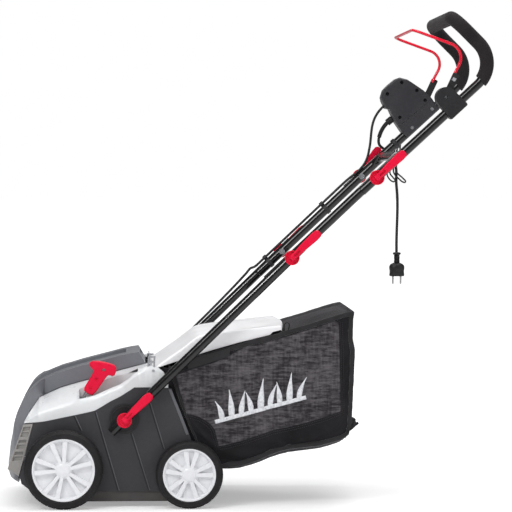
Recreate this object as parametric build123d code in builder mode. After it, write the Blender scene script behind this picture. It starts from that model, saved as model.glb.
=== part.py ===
from build123d import *
import math
import os

# Walk-behind lawn scarifier with a grass bag and a folding three-stage tube handle.
# Design frame, mm: x runs from the front to the rear, y from left to right, z up from the
# ground. Side outlines are (x, z) points. Every solid is moved by -ORIGIN_X in x, so that
# the origin is the middle of the overall box.

os.makedirs("parts", exist_ok=True)

# ---------------------------------------------------------------- driving dimensions
ORIGIN_X = 267.4616
SIDES = (-1, 1)                # left, right

FRONT_AXLE = (-158.9, 90.0)
REAR_AXLE = (127.4, 77.0)
FRONT_WHEEL_R, REAR_WHEEL_R = 90.0, 77.0
FRONT_RIM_R, REAR_RIM_R = 71.5, 60.5
FRONT_WHEEL_Y, REAR_WHEEL_Y = 240.0, 237.0      # wheel centre planes
FRONT_TYRE_W, REAR_TYRE_W = 42.0, 38.0
CRANK = (-196.3, 83.4)         # depth crank axis
LEVER = (-126.0, 227.0)        # depth lever axis
LINK_ARM = (-26.3, -9.6)       # parallel arms of lever and crank
ROTOR = (-20.0, 78.0)          # tine rotor axis
MOTOR = (-90.0, 235.0)         # motor axis
HINGE = (46.0, 312.0)          # rear flap hinge
HALF_W = 205.0                 # housing half width
WALL = 4.0
INNER_Y = HALF_W - WALL        # inner face of the side panels

PIVOT_LOW = (-20.4, 201.4)     # lower handle pivot
PIVOT_MID = (362.2, 571.5)     # middle handle joint
PIVOT_TOP = (556.3, 754.3)     # upper handle joint
BAIL = (714.3, 936.8)          # bail pivot
LOW_Y, MID_Y, UP_Y = 222.0, 198.0, 222.0        # handle tube centre planes
TUBE_R, TUBE_IN = 11.0, 9.6

RUN = 0.05                     # radial running clearance
SNUG = 0.02                    # radial clearance of fixed fits
TUBE_BORE = TUBE_R + SNUG
AXLE_R = 6.0
LEVER_PIN_R, LINK_PIN_R = 5.0, 3.0
ROTOR_SHAFT_R, BEARING_R = 10.0, 22.0
MOTOR_SHAFT_R, STATOR_R = 6.0, 50.0
HINGE_R = 3.0
STUD_R, BOLT_R = 5.0, 4.0      # lower pivot studs, joint bolts
STUD_END_Y = 237.2             # outer end of studs and bolts
CABLE_R, MAINS_R = 3.0, 3.4

ANG_LOW = math.atan2(PIVOT_MID[1] - PIVOT_LOW[1], PIVOT_MID[0] - PIVOT_LOW[0])
ANG_MID = math.atan2(PIVOT_TOP[1] - PIVOT_MID[1], PIVOT_TOP[0] - PIVOT_MID[0])
ANG_UP = math.radians(42.6)


# ---------------------------------------------------------------- solid helpers
def to_model(p):
    return (p[0] - ORIGIN_X, p[1])


def prism(pts, y0, y1, mode=Mode.ADD):
    """Side outline pts (x, z) as a plate between the planes y0 and y1."""
    with BuildSketch(Plane.XZ.offset(-y1)) as sk:
        with BuildLine():
            Polyline(*[to_model(p) for p in pts], close=True)
        make_face()
    extrude(to_extrude=sk.sketch, amount=y1 - y0, mode=mode)


def disc(p, radius, y0, y1, mode=Mode.ADD, r_in=0.0):
    """Round plate or ring on the Y axis line through p."""
    with BuildSketch(Plane.XZ.offset(-y1)) as sk:
        with Locations(to_model(p)):
            Circle(radius)
            if r_in > 0:
                Circle(r_in, mode=Mode.SUBTRACT)
    extrude(to_extrude=sk.sketch, amount=y1 - y0, mode=mode)


def turned(p, profile):
    """(y, radius) profile turned about the Y axis line through p."""
    origin = (p[0] - ORIGIN_X, 0, p[1])
    with BuildSketch(Plane(origin=origin, x_dir=(0, 1, 0), z_dir=(1, 0, 0))) as sk:
        with BuildLine():
            Polyline(*profile, close=True)
        make_face()
    revolve(sk.sketch, axis=Axis(origin, (0, 1, 0)), revolution_arc=360)


def rod(p0, p1, radius, mode=Mode.ADD, r_in=0.0):
    """Straight round bar between two design-frame points (x, y, z)."""
    a = Vector(p0[0] - ORIGIN_X, p0[1], p0[2])
    b = Vector(p1[0] - ORIGIN_X, p1[1], p1[2])
    with BuildSketch(Plane(origin=a, z_dir=b - a)) as sk:
        Circle(radius)
        if r_in > 0:
            Circle(r_in, mode=Mode.SUBTRACT)
    extrude(to_extrude=sk.sketch, amount=(b - a).length, mode=mode)


def side_rod(p0, p1, y, radius, mode=Mode.ADD, r_in=0.0):
    """Round bar between two (x, z) points in the plane y."""
    rod((p0[0], y, p0[1]), (p1[0], y, p1[1]), radius, mode=mode, r_in=r_in)


def pipe(pts, radii, radius, r_in=0.0):
    """Bent round bar or tube through (x, y, z) points, with the given bend radii."""
    with BuildLine() as path:
        FilletPolyline(*[(x - ORIGIN_X, y, z) for x, y, z in pts], radius=radii)
    w = path.wires()[0]
    with BuildSketch(Plane(origin=w @ 0, z_dir=w % 0)) as sk:
        Circle(radius)
        if r_in > 0:
            Circle(r_in, mode=Mode.SUBTRACT)
    sweep(sections=sk.sketch, path=w)


def cord(pts, radius):
    """Flexible round cord along a spline through (x, y, z) points."""
    with BuildLine() as path:
        Spline(*[(x - ORIGIN_X, y, z) for x, y, z in pts])
    w = path.wires()[0]
    with BuildSketch(Plane(origin=w @ 0, z_dir=w % 0)) as sk:
        Circle(radius)
    sweep(sections=sk.sketch, path=w)


def band_loft(sections):
    """Ruled loft through closed (y, z) polygons standing at stations x."""
    section_faces = []
    for x, polygon in sections:
        plane = Plane(origin=(x - ORIGIN_X, 0, 0), x_dir=(0, 1, 0), z_dir=(1, 0, 0))
        with BuildSketch(plane) as sk:
            with BuildLine():
                Polyline(*polygon, close=True)
            make_face()
        section_faces.append(sk.sketch.faces()[0])
    loft(sections=section_faces, ruled=True)


def bevel(face, length):
    """Chamfer the rim of a face."""
    # guards against the kernel refusing the chamfer: the rim then stays sharp
    try:
        chamfer(face.edges(), length)
    except Exception:
        pass


def save(builder, name):
    builder.part.label = name
    export_step(builder.part, f"parts/{name}.step")


# ---------------------------------------------------------------- point helpers
def span(side, inner, outer):
    """Range (y0, y1) between two distances from the middle plane, on one side."""
    return (-outer, -inner) if side < 0 else (inner, outer)


def on_side(side, profile, y_mid=0.0):
    """(y, radius) profile moved out to y_mid, and mirrored for the left side."""
    return [(side * (y_mid + y), radius) for y, radius in profile]


def along(p, angle, distance, perp=0.0):
    """Point at a distance along the direction from p, and perp to its upper side."""
    return (p[0] + distance * math.cos(angle) - perp * math.sin(angle),
            p[1] + distance * math.sin(angle) + perp * math.cos(angle))


def outline_along(p, angle, offsets):
    """Outline from (distance, perp) pairs."""
    return [along(p, angle, distance, perp) for distance, perp in offsets]


def strip(start, end, half_width):
    """Four corners of a straight strip from start to end."""
    dx, dz = end[0] - start[0], end[1] - start[1]
    length = math.hypot(dx, dz)
    nx, nz = -dz / length * half_width, dx / length * half_width
    return [(start[0] + nx, start[1] + nz), (end[0] + nx, end[1] + nz),
            (end[0] - nx, end[1] - nz), (start[0] - nx, start[1] - nz)]


def bow(pts, half_y):
    """(x, z) points on the left side, then the same points back on the right side."""
    return [(x, -half_y, z) for x, z in pts] + [(x, half_y, z) for x, z in pts[::-1]]


def offset_line(pts, distance):
    """Open (x, z) line moved by a distance to its left."""
    out = []
    n = len(pts)
    for i in range(n):
        nx = nz = 0.0
        for a, b in ((i - 1, i), (i, i + 1)):
            if a < 0 or b >= n:
                continue
            dx, dz = pts[b][0] - pts[a][0], pts[b][1] - pts[a][1]
            length = math.hypot(dx, dz)
            nx += -dz / length
            nz += dx / length
        length = math.hypot(nx, nz)
        nx, nz = nx / length, nz / length
        mitre = 1.0
        if 0 < i < n - 1:
            dx, dz = pts[i + 1][0] - pts[i][0], pts[i + 1][1] - pts[i][1]
            mitre = max(0.5, (nx * -dz + nz * dx) / math.hypot(dx, dz))
        out.append((pts[i][0] + nx * distance / mitre, pts[i][1] + nz * distance / mitre))
    return out


def interp(table, x):
    """Linear interpolation in (x, value) rows, held constant outside them."""
    for (x0, z0), (x1, z1) in zip(table, table[1:]):
        if x0 <= x <= x1:
            return z0 + (z1 - z0) * (x - x0) / (x1 - x0)
    return table[0][1] if x < table[0][0] else table[-1][1]


# ---------------------------------------------------------------- shared outlines (x, z)
PANEL_TOP = [
    (-228, 194), (-212, 195), (-189, 199), (-166, 204), (-143.5, 208.5), (-121, 213),
    (-98, 218), (-89, 220), (-75, 228), (-52, 242), (-30, 253), (-14, 263), (2, 273.5),
    (32, 273.5), (87, 272)]
PANEL = PANEL_TOP + [
    (96, 247), (107, 220), (118.5, 190), (130, 161), (140, 128), (146, 90), (142, 52), (136, 36),
    (60, 35.5), (-200, 35.5), (-240, 42), (-256, 54), (-260, 70)]

# upper and lower edge of the motor hood, from the rear forward
HOOD_TOP = [
    (13, 349), (-7, 346), (-30, 341), (-53, 335), (-76.5, 329), (-100, 323), (-123, 317),
    (-146, 310), (-169, 303.5), (-192.5, 294), (-216, 284), (-232, 271), (-241, 261),
    (-249, 249), (-256, 237), (-262, 226), (-267, 214), (-271, 200), (-274, 189), (-277, 168),
    (-282, 145), (-285, 121), (-289, 98), (-290, 77)]
HOOD_LOW = [
    (28, 323), (-7, 314), (-30, 308), (-53, 301), (-76.5, 294), (-100, 287), (-123, 281),
    (-146, 274.5), (-169, 267.5), (-181, 263), (-192.5, 257), (-204, 252), (-216, 250)]
HOOD_LOW_REARWARD = HOOD_LOW[::-1]

# ================================================================ chassis
# lower housing: tunnel with side panels, front wall, tunnel roof and slanted ribs
RIB_LINES = [   # upper end, lower end
    ((-134, 209), (-119, 176)), ((-86, 217), (-34, 38)), ((-4, 168), (36, 38)),
    ((38, 238), (70, 133))]
RIB_HALF, RIB_H = 1.6, 1.6
REAR_EDGE_RIB = [
    (80, 270), (87, 270), (96, 247), (107, 220), (118.5, 190), (127, 166), (121, 164),
    (112, 188), (101, 217), (90, 245)]
FRONT_WALL = [
    (-230.2, 186), (-226.5, 186), (-252, 72), (-250, 58), (-236, 46), (-200, 40), (-200, 35.5),
    (-240, 42), (-256, 54), (-260, 70)]
ROOF_ANGLES = [math.radians(188 - k * 11.5) for k in range(13)]
ROOF_OUT = [along(ROTOR, angle, 92) for angle in ROOF_ANGLES]
ROOF_IN = [along(ROTOR, angle, 88.5) for angle in ROOF_ANGLES]
CRADLE = [
    (-150, 190), (-30, 190), (-20, 168), (-60, 160.5), (-95, 135), (-112, 100), (-118, 66),
    (-130, 66), (-150, 120)]
BELT_WALL_Y = 172
POCKET_DEPTH = 8

with BuildPart() as lower_housing:
    for side in SIDES:
        prism(PANEL, *span(side, INNER_Y, HALF_W))
        # lower skirt inside the panel
        prism([(-150, 60), (100, 60), (92, 12), (-120, 12)], *span(side, INNER_Y - 3, INNER_Y))
        # raised ribs on the panel face
        rib_span = span(side, HALF_W, HALF_W + RIB_H)
        for top, low in RIB_LINES:
            prism([(top[0] - RIB_HALF, top[1]), (top[0] + RIB_HALF, top[1]),
                   (low[0] + RIB_HALF, low[1]), (low[0] - RIB_HALF, low[1])], *rib_span)
        prism(REAR_EDGE_RIB, *rib_span)
    prism(FRONT_WALL, -INNER_Y, INNER_Y)
    # tunnel roof round the tine rotor, and the floor in front of it
    prism(ROOF_OUT + [(96, 186), (94, 182)] + ROOF_IN[::-1], -INNER_Y, BELT_WALL_Y)
    prism([(-111.1, 66.5), (-107.6, 66.5), (-124, 36), (-201, 36), (-201, 40), (-127, 40)],
          -INNER_Y, INNER_Y)
    # wall between the tunnel and the belt space
    prism(ROOF_OUT + [(96, 186), (80, 60), (20, 36), (-60, 36), (-105, 50)],
          BELT_WALL_Y, BELT_WALL_Y + 3)
    # motor cradle
    for y0, y1 in ((-46, -36), (44, 54)):
        prism(CRADLE, y0, y1)
        disc(MOTOR, STATOR_R + RUN, y0, y1, mode=Mode.SUBTRACT)
    # bores: rear axle, crank, rotor
    for centre, bore in ((REAR_AXLE, AXLE_R + SNUG), (CRANK, AXLE_R + RUN)):
        disc(centre, bore, -HALF_W - 3, HALF_W + 3, mode=Mode.SUBTRACT)
    disc(ROTOR, 14, BELT_WALL_Y - 1, BELT_WALL_Y + 4, mode=Mode.SUBTRACT)
    # bearing pockets
    for side in SIDES:
        disc(ROTOR, 30, *span(side, INNER_Y - POCKET_DEPTH, INNER_Y))
    for side in SIDES:
        disc(ROTOR, BEARING_R, *span(side, INNER_Y - POCKET_DEPTH, INNER_Y), mode=Mode.SUBTRACT)
    # bracket and pivot pin of the depth lever
    prism([(-142, 192), (-108, 192), (-110, 208), (-142, 203)], -INNER_Y, -195)
    prism([(-142, 192), (-108, 192), (-115, 228), (-118, 232.5), (-134, 232.5)], -199.4, -195)
    disc(LEVER, LEVER_PIN_R, -196, -160)
save(lower_housing, "lower_housing")

# discs with the lower pivot studs, one on each side panel
with BuildPart() as handle_mount_discs:
    for side in SIDES:
        disc(PIVOT_LOW, 34, *span(side, HALF_W + 0.02, HALF_W + 5))
        raised = span(side, HALF_W + 4.9, HALF_W + 5.8)
        disc(PIVOT_LOW, 30, *raised, r_in=27)
        disc(PIVOT_LOW, 15, *raised)
        disc(PIVOT_LOW, STUD_R, *span(side, HALF_W + 5, STUD_END_Y))
    for side in SIDES:   # keep the discs clear of the slanted ribs
        rib_gap = span(side, HALF_W, HALF_W + 1.8)
        disc(PIVOT_LOW, 40, *rib_gap, mode=Mode.SUBTRACT)
        disc(PIVOT_LOW, 10, *rib_gap)
save(handle_mount_discs, "handle_mount_discs")

# front corner grilles: three louvres over a solid block
GRILLE = [(-251.5, 190), (-229.5, 192), (-262, 71), (-288, 88)]
GRILLE_FRONT_EDGE = [(88, -288), (190, -251.5)]     # z, x
GRILLE_REAR_EDGE = [(71, -262), (192, -229.5)]      # z, x
LOUVRES = ((184, 161), (154, 134), (127, 107))      # top z, bottom z


def grille_x(z, fraction):
    """x at a fraction of the way from the front to the rear edge, at height z."""
    front = interp(GRILLE_FRONT_EDGE, z)
    rear = interp(GRILLE_REAR_EDGE, z)
    return front + (rear - front) * fraction


with BuildPart() as front_grilles:
    for side in SIDES:
        prism(GRILLE, *span(side, 197.5, 204))
        for top, low in LOUVRES:
            prism([(grille_x(top, .14), top), (grille_x(top, .86), top + 1),
                   (grille_x(low, .86), low + 1), (grille_x(low, .14), low)],
                  *span(side, 199.5, 204.2), mode=Mode.SUBTRACT)
            mid = (top + low) / 2
            prism([(grille_x(mid + 2, .14), mid + 3), (grille_x(mid + 2, .86), mid + 4),
                   (grille_x(mid - 1, .86), mid), (grille_x(mid - 1, .14), mid - 1)],
                  *span(side, 199.3, 202.5))
save(front_grilles, "front_grilles")

# top shell: shoulders rising from the panels to the hood, with the lever trough
SHELL_X = [
    -250, -238, -226, -216, -205, -192, -169, -146, -123, -100, -88, -76.5, -53, -30, -13, 2,
    14, 28, 39, 57, 69, 75, 80]
SHELL_TOP = (
    [(-256, 183), (-248, 200), (-239, 215), (-228, 230), (-216, 247)]
    + [(x, z - 1.0) for x, z in HOOD_LOW_REARWARD[1:]]
    + [(39, 325.5), (57, 320.5), (69, 311), (75, 299), (80, 286), (87, 273.5)])
SHELL_INNER_EDGE = [   # x, y
    (-262, 192.5), (-238, 192), (-226, 170), (-216, 146), (-205, 119), (40, 119)]
SHELL_T = 3.0
TROUGH = [
    (-124, 300), (-124, 248), (-102, 236), (-60, 240), (-28, 250), (-8, 262), (6, 288),
    (14, 330), (-40, 360)]
TROUGH_PAN = [
    (-126.5, 262), (-126.5, 247), (-103, 233), (-59.5, 237), (-26.5, 247.5), (-5.5, 260),
    (9.5, 288), (11.5, 305), (9, 305), (6, 289), (-8, 263), (-28, 250.4), (-60, 240),
    (-102, 236), (-123.5, 248), (-123.5, 262)]
TROUGH_INNER_WALL = [
    (-124, 250), (-102, 238), (-60, 240), (-28, 250), (-8, 262), (4, 284), (6, 306),
    (-24, 300), (-60, 290), (-100, 277), (-123, 268)]


def shell_section(x):
    """Closed (y, z) section of the right shoulder at station x."""
    if x > -228:
        z_low = interp(PANEL_TOP, x) + 0.6
    else:
        z_low = interp([(-256, 192.5), (-228, 194.6)], x)
    z_top = max(interp(SHELL_TOP, x), z_low + 1.2)
    height = z_top - z_low
    square = min(1.0, max(0.0, (x + 20) / 45.0))   # 0 along the hood, 1 at the squared rear
    y_in = interp(SHELL_INNER_EDGE, x)
    z1 = z_low + (0.35 + .45 * square) * height
    z2 = z_low + (0.62 + .36 * square) * height
    z3 = z_low + (0.84 + .16 * square) * height
    y2 = max(192 + 6 * square, y_in + 4)
    y3 = y_in + (192 - y_in) * (.45 + .3 * square)
    y3 = max(min(y3, y2 - 1.5), y_in + 1.5)
    floor = z_low - 2.4
    outer = [(HALF_W, z_low), (HALF_W - 1, z1), (y2, z2), (y3, z3), (y_in, z_top)]
    inner = [(HALF_W - SHELL_T - 1.3, z_low),
             (HALF_W - SHELL_T - 1.6, max(z1 - SHELL_T * .5, floor)),
             (y2 - SHELL_T * .8, max(z2 - SHELL_T, floor)),
             (y3 - .6, max(z3 - SHELL_T, floor)),
             (y_in, max(z_top - SHELL_T, floor))]
    return outer + inner[::-1]


with BuildPart() as top_shell:
    for side in SIDES:
        band_loft([(x, [(side * y, z) for y, z in shell_section(x)]) for x in SHELL_X])
    # trough for the depth lever on the left side
    prism(TROUGH, -197, -157, mode=Mode.SUBTRACT)
    prism(TROUGH_PAN, -197, -157)
    prism(TROUGH_INNER_WALL, -159.5, -157)
    # lever slot
    prism([(-126, 262), (-90, 262), (-90, 228), (-126, 228)], -184.5, -171.5,
          mode=Mode.SUBTRACT)
    # the flap's room between the side walls, and the hinge bores
    prism([(33.5, 360), (33.5, 262), (100, 262), (100, 360)], -198.5, 198.5,
          mode=Mode.SUBTRACT)
    disc(HINGE, HINGE_R + 0.03, -210, 210, mode=Mode.SUBTRACT)
    # cross bar under the hood's rear edge
    prism([(14, 309), (26, 309), (26, 318.5), (14, 316.8)], -160, 160)
save(top_shell, "top_shell")

# motor hood: plan outline cut to the side outline, with a sunk channel between two rails
HOOD_PLAN_HALF = [   # x, y
    (34, 117), (-205, 117), (-216, 144), (-226, 168), (-238, 190), (-262, 190), (-272, 182),
    (-284, 150), (-290, 110), (-294.5, 50)]
HOOD_PLAN = HOOD_PLAN_HALF + [(x, -y) for x, y in HOOD_PLAN_HALF[::-1]]
HOOD_SIDE = HOOD_TOP + [
    (-281, 64), (-262, 56), (-266, 84), (-263, 105), (-257, 135), (-250, 162), (-243, 185),
    (-236, 200), (-227, 215), (-216, 231), (-210, 243)] + HOOD_LOW_REARWARD[1:]
NOSE_BACK = [        # rear limit of the hollow nose, upwards
    (-262, 56), (-258, 84), (-255, 105), (-249, 135), (-242, 162), (-235, 185), (-228, 200),
    (-219, 215), (-208, 231), (-202, 240)]
HOLLOW_BOTTOM = [(x, z - 8) for x, z in HOOD_LOW_REARWARD[1:-1]]
RAIL_HOLLOW = (
    [(20, 322), (11, 345)] + offset_line(HOOD_TOP, 3.2)[1:-1] + [(-286, 85), (-276, 66)]
    + NOSE_BACK + HOLLOW_BOTTOM)
CHANNEL_HOLLOW = (
    [(20, 311), (11, 333)]
    + [p for p in offset_line(HOOD_TOP, 12.5) if p[1] > 236 and p[0] < 8]
    + [(-245, 225), (-262, 180), (-274, 110), (-276, 84), (-270, 70)]
    + NOSE_BACK + HOLLOW_BOTTOM)
CORNER_HOLLOW = [
    (-214, 238), (-236, 222), (-252, 200), (-262, 170), (-268, 130), (-272, 96),
    (-262, 60)] + NOSE_BACK[:-1]
CHANNEL_FLOOR = offset_line(
    [(-18.6, 343.8)] + [p for p in HOOD_TOP if -262 <= p[0] < -19], 8.0)

with BuildPart() as motor_hood:
    with BuildSketch(Plane.XY.offset(40)):
        with BuildLine():
            Polyline(*[to_model(p) for p in HOOD_PLAN], close=True)
        make_face()
    extrude(amount=330)
    prism(HOOD_SIDE, -220, 220, mode=Mode.INTERSECT)
    # sunk channel along the top
    prism([(-18.6, 365)] + CHANNEL_FLOOR + [(-275, 232), (-300, 240), (-300, 365)], -72, 72,
          mode=Mode.SUBTRACT)
    # hollow inside: below the channel, higher under the rails, and in the front corners
    prism(CHANNEL_HOLLOW, -76, 76, mode=Mode.SUBTRACT)
    for side in SIDES:
        prism(RAIL_HOLLOW, *span(side, 75, 113.5), mode=Mode.SUBTRACT)
    for side in SIDES:
        prism(CORNER_HOLLOW, *span(side, 113.0, 186), mode=Mode.SUBTRACT)
    # slot in the rear end
    prism([(14, 343), (36, 343), (36, 333), (18, 333)], -96, 96, mode=Mode.SUBTRACT)
save(motor_hood, "motor_hood")

with BuildPart() as motor_stator:
    turned(MOTOR, [(-60, 31), (-60, 44), (-50, STATOR_R), (62, STATOR_R), (70, 44), (70, 31)])
save(motor_stator, "motor_stator")

with BuildPart() as rotor_bearings:
    for side in SIDES:
        disc(ROTOR, BEARING_R - SNUG, *span(side, 193.2, 199.9), r_in=ROTOR_SHAFT_R + RUN)
save(rotor_bearings, "rotor_bearings")

# drive belt round the two pulleys
ROTOR_PULLEY_R, MOTOR_PULLEY_R = 44.5, 11.1     # groove radii


def belt_loop(extra, y0, y1, mode):
    """Belt loop outline at a distance outside the pulley grooves, as a plate."""
    dx, dz = MOTOR[0] - ROTOR[0], MOTOR[1] - ROTOR[1]
    base = math.atan2(dz, dx)
    wrap = math.acos((ROTOR_PULLEY_R - MOTOR_PULLEY_R) / math.hypot(dx, dz))
    pts = []
    for k in range(33):
        angle = base + wrap + (2 * math.pi - 2 * wrap) * k / 32
        pts.append(along(ROTOR, angle, ROTOR_PULLEY_R + extra))
    for k in range(13):
        pts.append(along(MOTOR, base - wrap + 2 * wrap * k / 12, MOTOR_PULLEY_R + extra))
    prism(pts, y0, y1, mode=mode)


with BuildPart() as drive_belt:
    belt_loop(3.2, 180, 190, Mode.ADD)
    belt_loop(0.6, 179, 191, Mode.SUBTRACT)
save(drive_belt, "drive_belt")

with BuildPart() as rear_axle:
    turned(REAR_AXLE, [(-251, 0), (-251, AXLE_R - 1), (-250, AXLE_R),
                       (250, AXLE_R), (251, AXLE_R - 1), (251, 0)])
save(rear_axle, "rear_axle")

with BuildPart() as flap_hinge_rod:
    disc(HINGE, HINGE_R, -204.5, 204.5)
save(flap_hinge_rod, "flap_hinge_rod")

# springs: a coil on the hinge rod with two upright legs joined at the top
SPRING_Y = 176
SPRING_LEG = [(34.8, 311), (41.5, 311), (37.6, 316), (37.6, 338), (40, 341), (34.8, 341)]

with BuildPart() as flap_springs:
    for y in (-SPRING_Y, SPRING_Y):
        disc(HINGE, 5.6, y - 8, y + 8, r_in=HINGE_R + RUN)
        prism(SPRING_LEG, y - 8, y - 4)
        prism(SPRING_LEG, y + 4, y + 8)
        prism([(34.8, 337), (39.5, 337), (40, 341), (34.8, 341)], y - 8, y + 8)
        disc(HINGE, HINGE_R + RUN, y - 10, y + 10, mode=Mode.SUBTRACT)
save(flap_springs, "flap_springs")

# ================================================================ depth adjustment
LEVER_ARM_END = (LEVER[0] + LINK_ARM[0], LEVER[1] + LINK_ARM[1])
CRANK_ARM_END = (CRANK[0] + LINK_ARM[0], CRANK[1] + LINK_ARM[1])
LEVER_ANGLE = math.radians(61)
LEVER_Y = -178
LEVER_SPAN = (LEVER_Y - 11, LEVER_Y + 11)
LEVER_CUT = (LEVER_Y - 12, LEVER_Y + 12)        # through cuts of lever and grip
LEVER_ROD_R = 4
ARM_SPAN = (-173, -168)                         # arms of lever and crank
PIN_SPAN = (-168, -158)
LINK_SPAN = (-165.5, -160.5)

with BuildPart() as lever_rod:
    disc(LEVER, 10, *LEVER_SPAN, r_in=LEVER_PIN_R + RUN)
    side_rod(along(LEVER, LEVER_ANGLE, 7), along(LEVER, LEVER_ANGLE, 46), LEVER_Y, LEVER_ROD_R)
    disc(LEVER, LEVER_PIN_R + RUN, *LEVER_CUT, mode=Mode.SUBTRACT)
    prism([(LEVER[0] - 8, LEVER[1] - 9), (LEVER[0] - 6, LEVER[1] + 5),
           (LEVER_ARM_END[0] - 3, LEVER_ARM_END[1] + 6), (LEVER_ARM_END[0] - 6, LEVER_ARM_END[1]),
           (LEVER_ARM_END[0] - 2, LEVER_ARM_END[1] - 6)], *ARM_SPAN)
    disc(LEVER, LEVER_PIN_R + RUN, *LEVER_CUT, mode=Mode.SUBTRACT)
    disc(LEVER_ARM_END, LINK_PIN_R, *PIN_SPAN)
save(lever_rod, "lever_rod")

# grip in two halves, with a hole near its top and two recessed discs in the left half
GRIP = [
    (-103.0, 257.5), (-93.0, 254.8), (-84.6, 263.5), (-76.1, 275.4), (-69.4, 285.5),
    (-62.1, 296.0), (-57.7, 300.3), (-52.7, 300.3), (-47.7, 298.2), (-42.6, 300.8),
    (-38.7, 310.7), (-39.4, 318.3), (-44.2, 324.0), (-57.7, 328.6), (-72.9, 332.0),
    (-83.0, 333.3), (-94.6, 332.6), (-100.6, 329.0), (-100.0, 322.6), (-95.8, 317.0),
    (-90.4, 312.0), (-92.3, 306.0), (-98.1, 295.6), (-106.6, 282.1), (-112.3, 272.0),
    (-112.8, 265.4)]

with BuildPart() as lever_grip:
    for y0, y1, outer_index in ((-189, -178.2, 0), (-177.8, -167, -1)):
        prism(GRIP, y0, y1)
        bevel(faces().filter_by(Axis.Y).sort_by(Axis.Y)[outer_index], 2.2)
    side_rod(LEVER, along(LEVER, LEVER_ANGLE, 46.5), LEVER_Y, LEVER_ROD_R + RUN,
             mode=Mode.SUBTRACT)
    disc((-67.8, 313.0), 3.6, *LEVER_CUT, mode=Mode.SUBTRACT)
    for centre in ((-83.9, 292.1), (-98.1, 271.3)):
        disc(centre, 3.2, -190, -184, mode=Mode.SUBTRACT)
        disc(centre, 2.9, -187, -183)
save(lever_grip, "lever_grip")

with BuildPart() as depth_link:
    prism(strip(LEVER_ARM_END, CRANK_ARM_END, 6), *LINK_SPAN)
    for centre in (LEVER_ARM_END, CRANK_ARM_END):
        disc(centre, 8, *LINK_SPAN)
    for centre in (LEVER_ARM_END, CRANK_ARM_END):
        disc(centre, LINK_PIN_R + RUN, -166, -160, mode=Mode.SUBTRACT)
save(depth_link, "depth_link")

CRANK_ARM_Y, CRANK_END_Y = 207.5, 213
with BuildPart() as front_axle_crank:
    disc(CRANK, AXLE_R, -CRANK_END_Y, CRANK_END_Y)
    for side in SIDES:
        crank_span = span(side, CRANK_ARM_Y, CRANK_END_Y)
        prism(strip(CRANK, FRONT_AXLE, 9), *crank_span)
        disc(CRANK, 9, *crank_span)
        disc(FRONT_AXLE, 9, *crank_span)
        turned(FRONT_AXLE, on_side(side, [(CRANK_ARM_Y, 0), (CRANK_ARM_Y, AXLE_R), (252, AXLE_R),
                                          (253, AXLE_R - 1), (253, 0)]))
    disc(CRANK, 10, *ARM_SPAN)
    prism([(CRANK[0] - 3, CRANK[1] + 8), (CRANK_ARM_END[0] - 2, CRANK_ARM_END[1] + 6),
           (CRANK_ARM_END[0] + 2, CRANK_ARM_END[1] - 6), (CRANK[0] + 3, CRANK[1] - 8)], *ARM_SPAN)
    disc(CRANK_ARM_END, 6, *ARM_SPAN)
    disc(CRANK_ARM_END, LINK_PIN_R, *PIN_SPAN)
save(front_axle_crank, "front_axle_crank")


# ================================================================ wheels
def build_tyre(axis, y_mid, side, radius, rim_r, width, grooves):
    """Tyre with two staggered rings of cross grooves in the tread."""
    half = width / 2
    profile = [
        (-half + 3, rim_r), (-half, rim_r + 3), (-half, radius * .925),
        (-half + 1.2, radius * .945), (-half + 2.4, radius * .945), (-half + 5, radius * .978),
        (-half + 8, radius), (half - 8, radius), (half - 5, radius * .978),
        (half - 2.4, radius * .945), (half - 1.2, radius * .945), (half, radius * .925),
        (half, rim_r + 3), (half - 3, rim_r)]
    turned(axis, on_side(side, profile, y_mid))
    for edge in (-1, 1):
        y0, y1 = sorted((side * (y_mid + edge * 5), side * (y_mid + edge * (half + 1))))
        start_angle = 0 if edge < 0 else 180 / grooves
        with BuildSketch(Plane.XZ.offset(-y1)) as sk:
            with Locations(to_model(axis)):
                with PolarLocations(radius, grooves, start_angle=start_angle):
                    Rectangle(3.2, 2.2)
        extrude(to_extrude=sk.sketch, amount=y1 - y0, mode=Mode.SUBTRACT)


def build_rim(axis, y_mid, side, rim_r, width, first_angle, bore_end_y):
    """Disc wheel: flange, dished web, hub with a closed dome and five pairs of ribs."""
    half = width / 2 - 3
    radius = rim_r - .05
    bore = AXLE_R + RUN
    bore_end = bore_end_y - y_mid
    profile = [
        (-half, radius), (-half, radius - 4), (2, radius - 5), (3, radius - 8), (0, 24),
        (-half - 1, 21), (-half - 1, bore), (bore_end, bore), (bore_end, 0), (half + .6, 0),
        (half + .3, 8), (half - 1.2, 13.5), (half - 4.5, 18), (4, 23), (6, radius - 8),
        (half - 2, radius - 5), (half, radius - 3), (half, radius)]
    turned(axis, on_side(side, profile, y_mid))
    root, tip = 12, radius - 4.2
    rib_span = span(side, y_mid + 4.5, y_mid + half - 3.2)
    for k in range(5):
        for offset_angle in (-13.5, 13.5):
            angle = math.radians(first_angle + 72 * k + offset_angle)
            prism(outline_along(axis, angle, [(root, 3.8), (tip, 5.8), (tip, -5.8), (root, -3.8)]),
                  *rib_span)


WHEELS = [   # name, axis, centre y, radius, rim radius, width, grooves, rib angle, bore end y
    ("front", FRONT_AXLE, FRONT_WHEEL_Y, FRONT_WHEEL_R, FRONT_RIM_R, FRONT_TYRE_W, 30, 28, 254),
    ("rear", REAR_AXLE, REAR_WHEEL_Y, REAR_WHEEL_R, REAR_RIM_R, REAR_TYRE_W, 26, 13, 252)]

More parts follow.
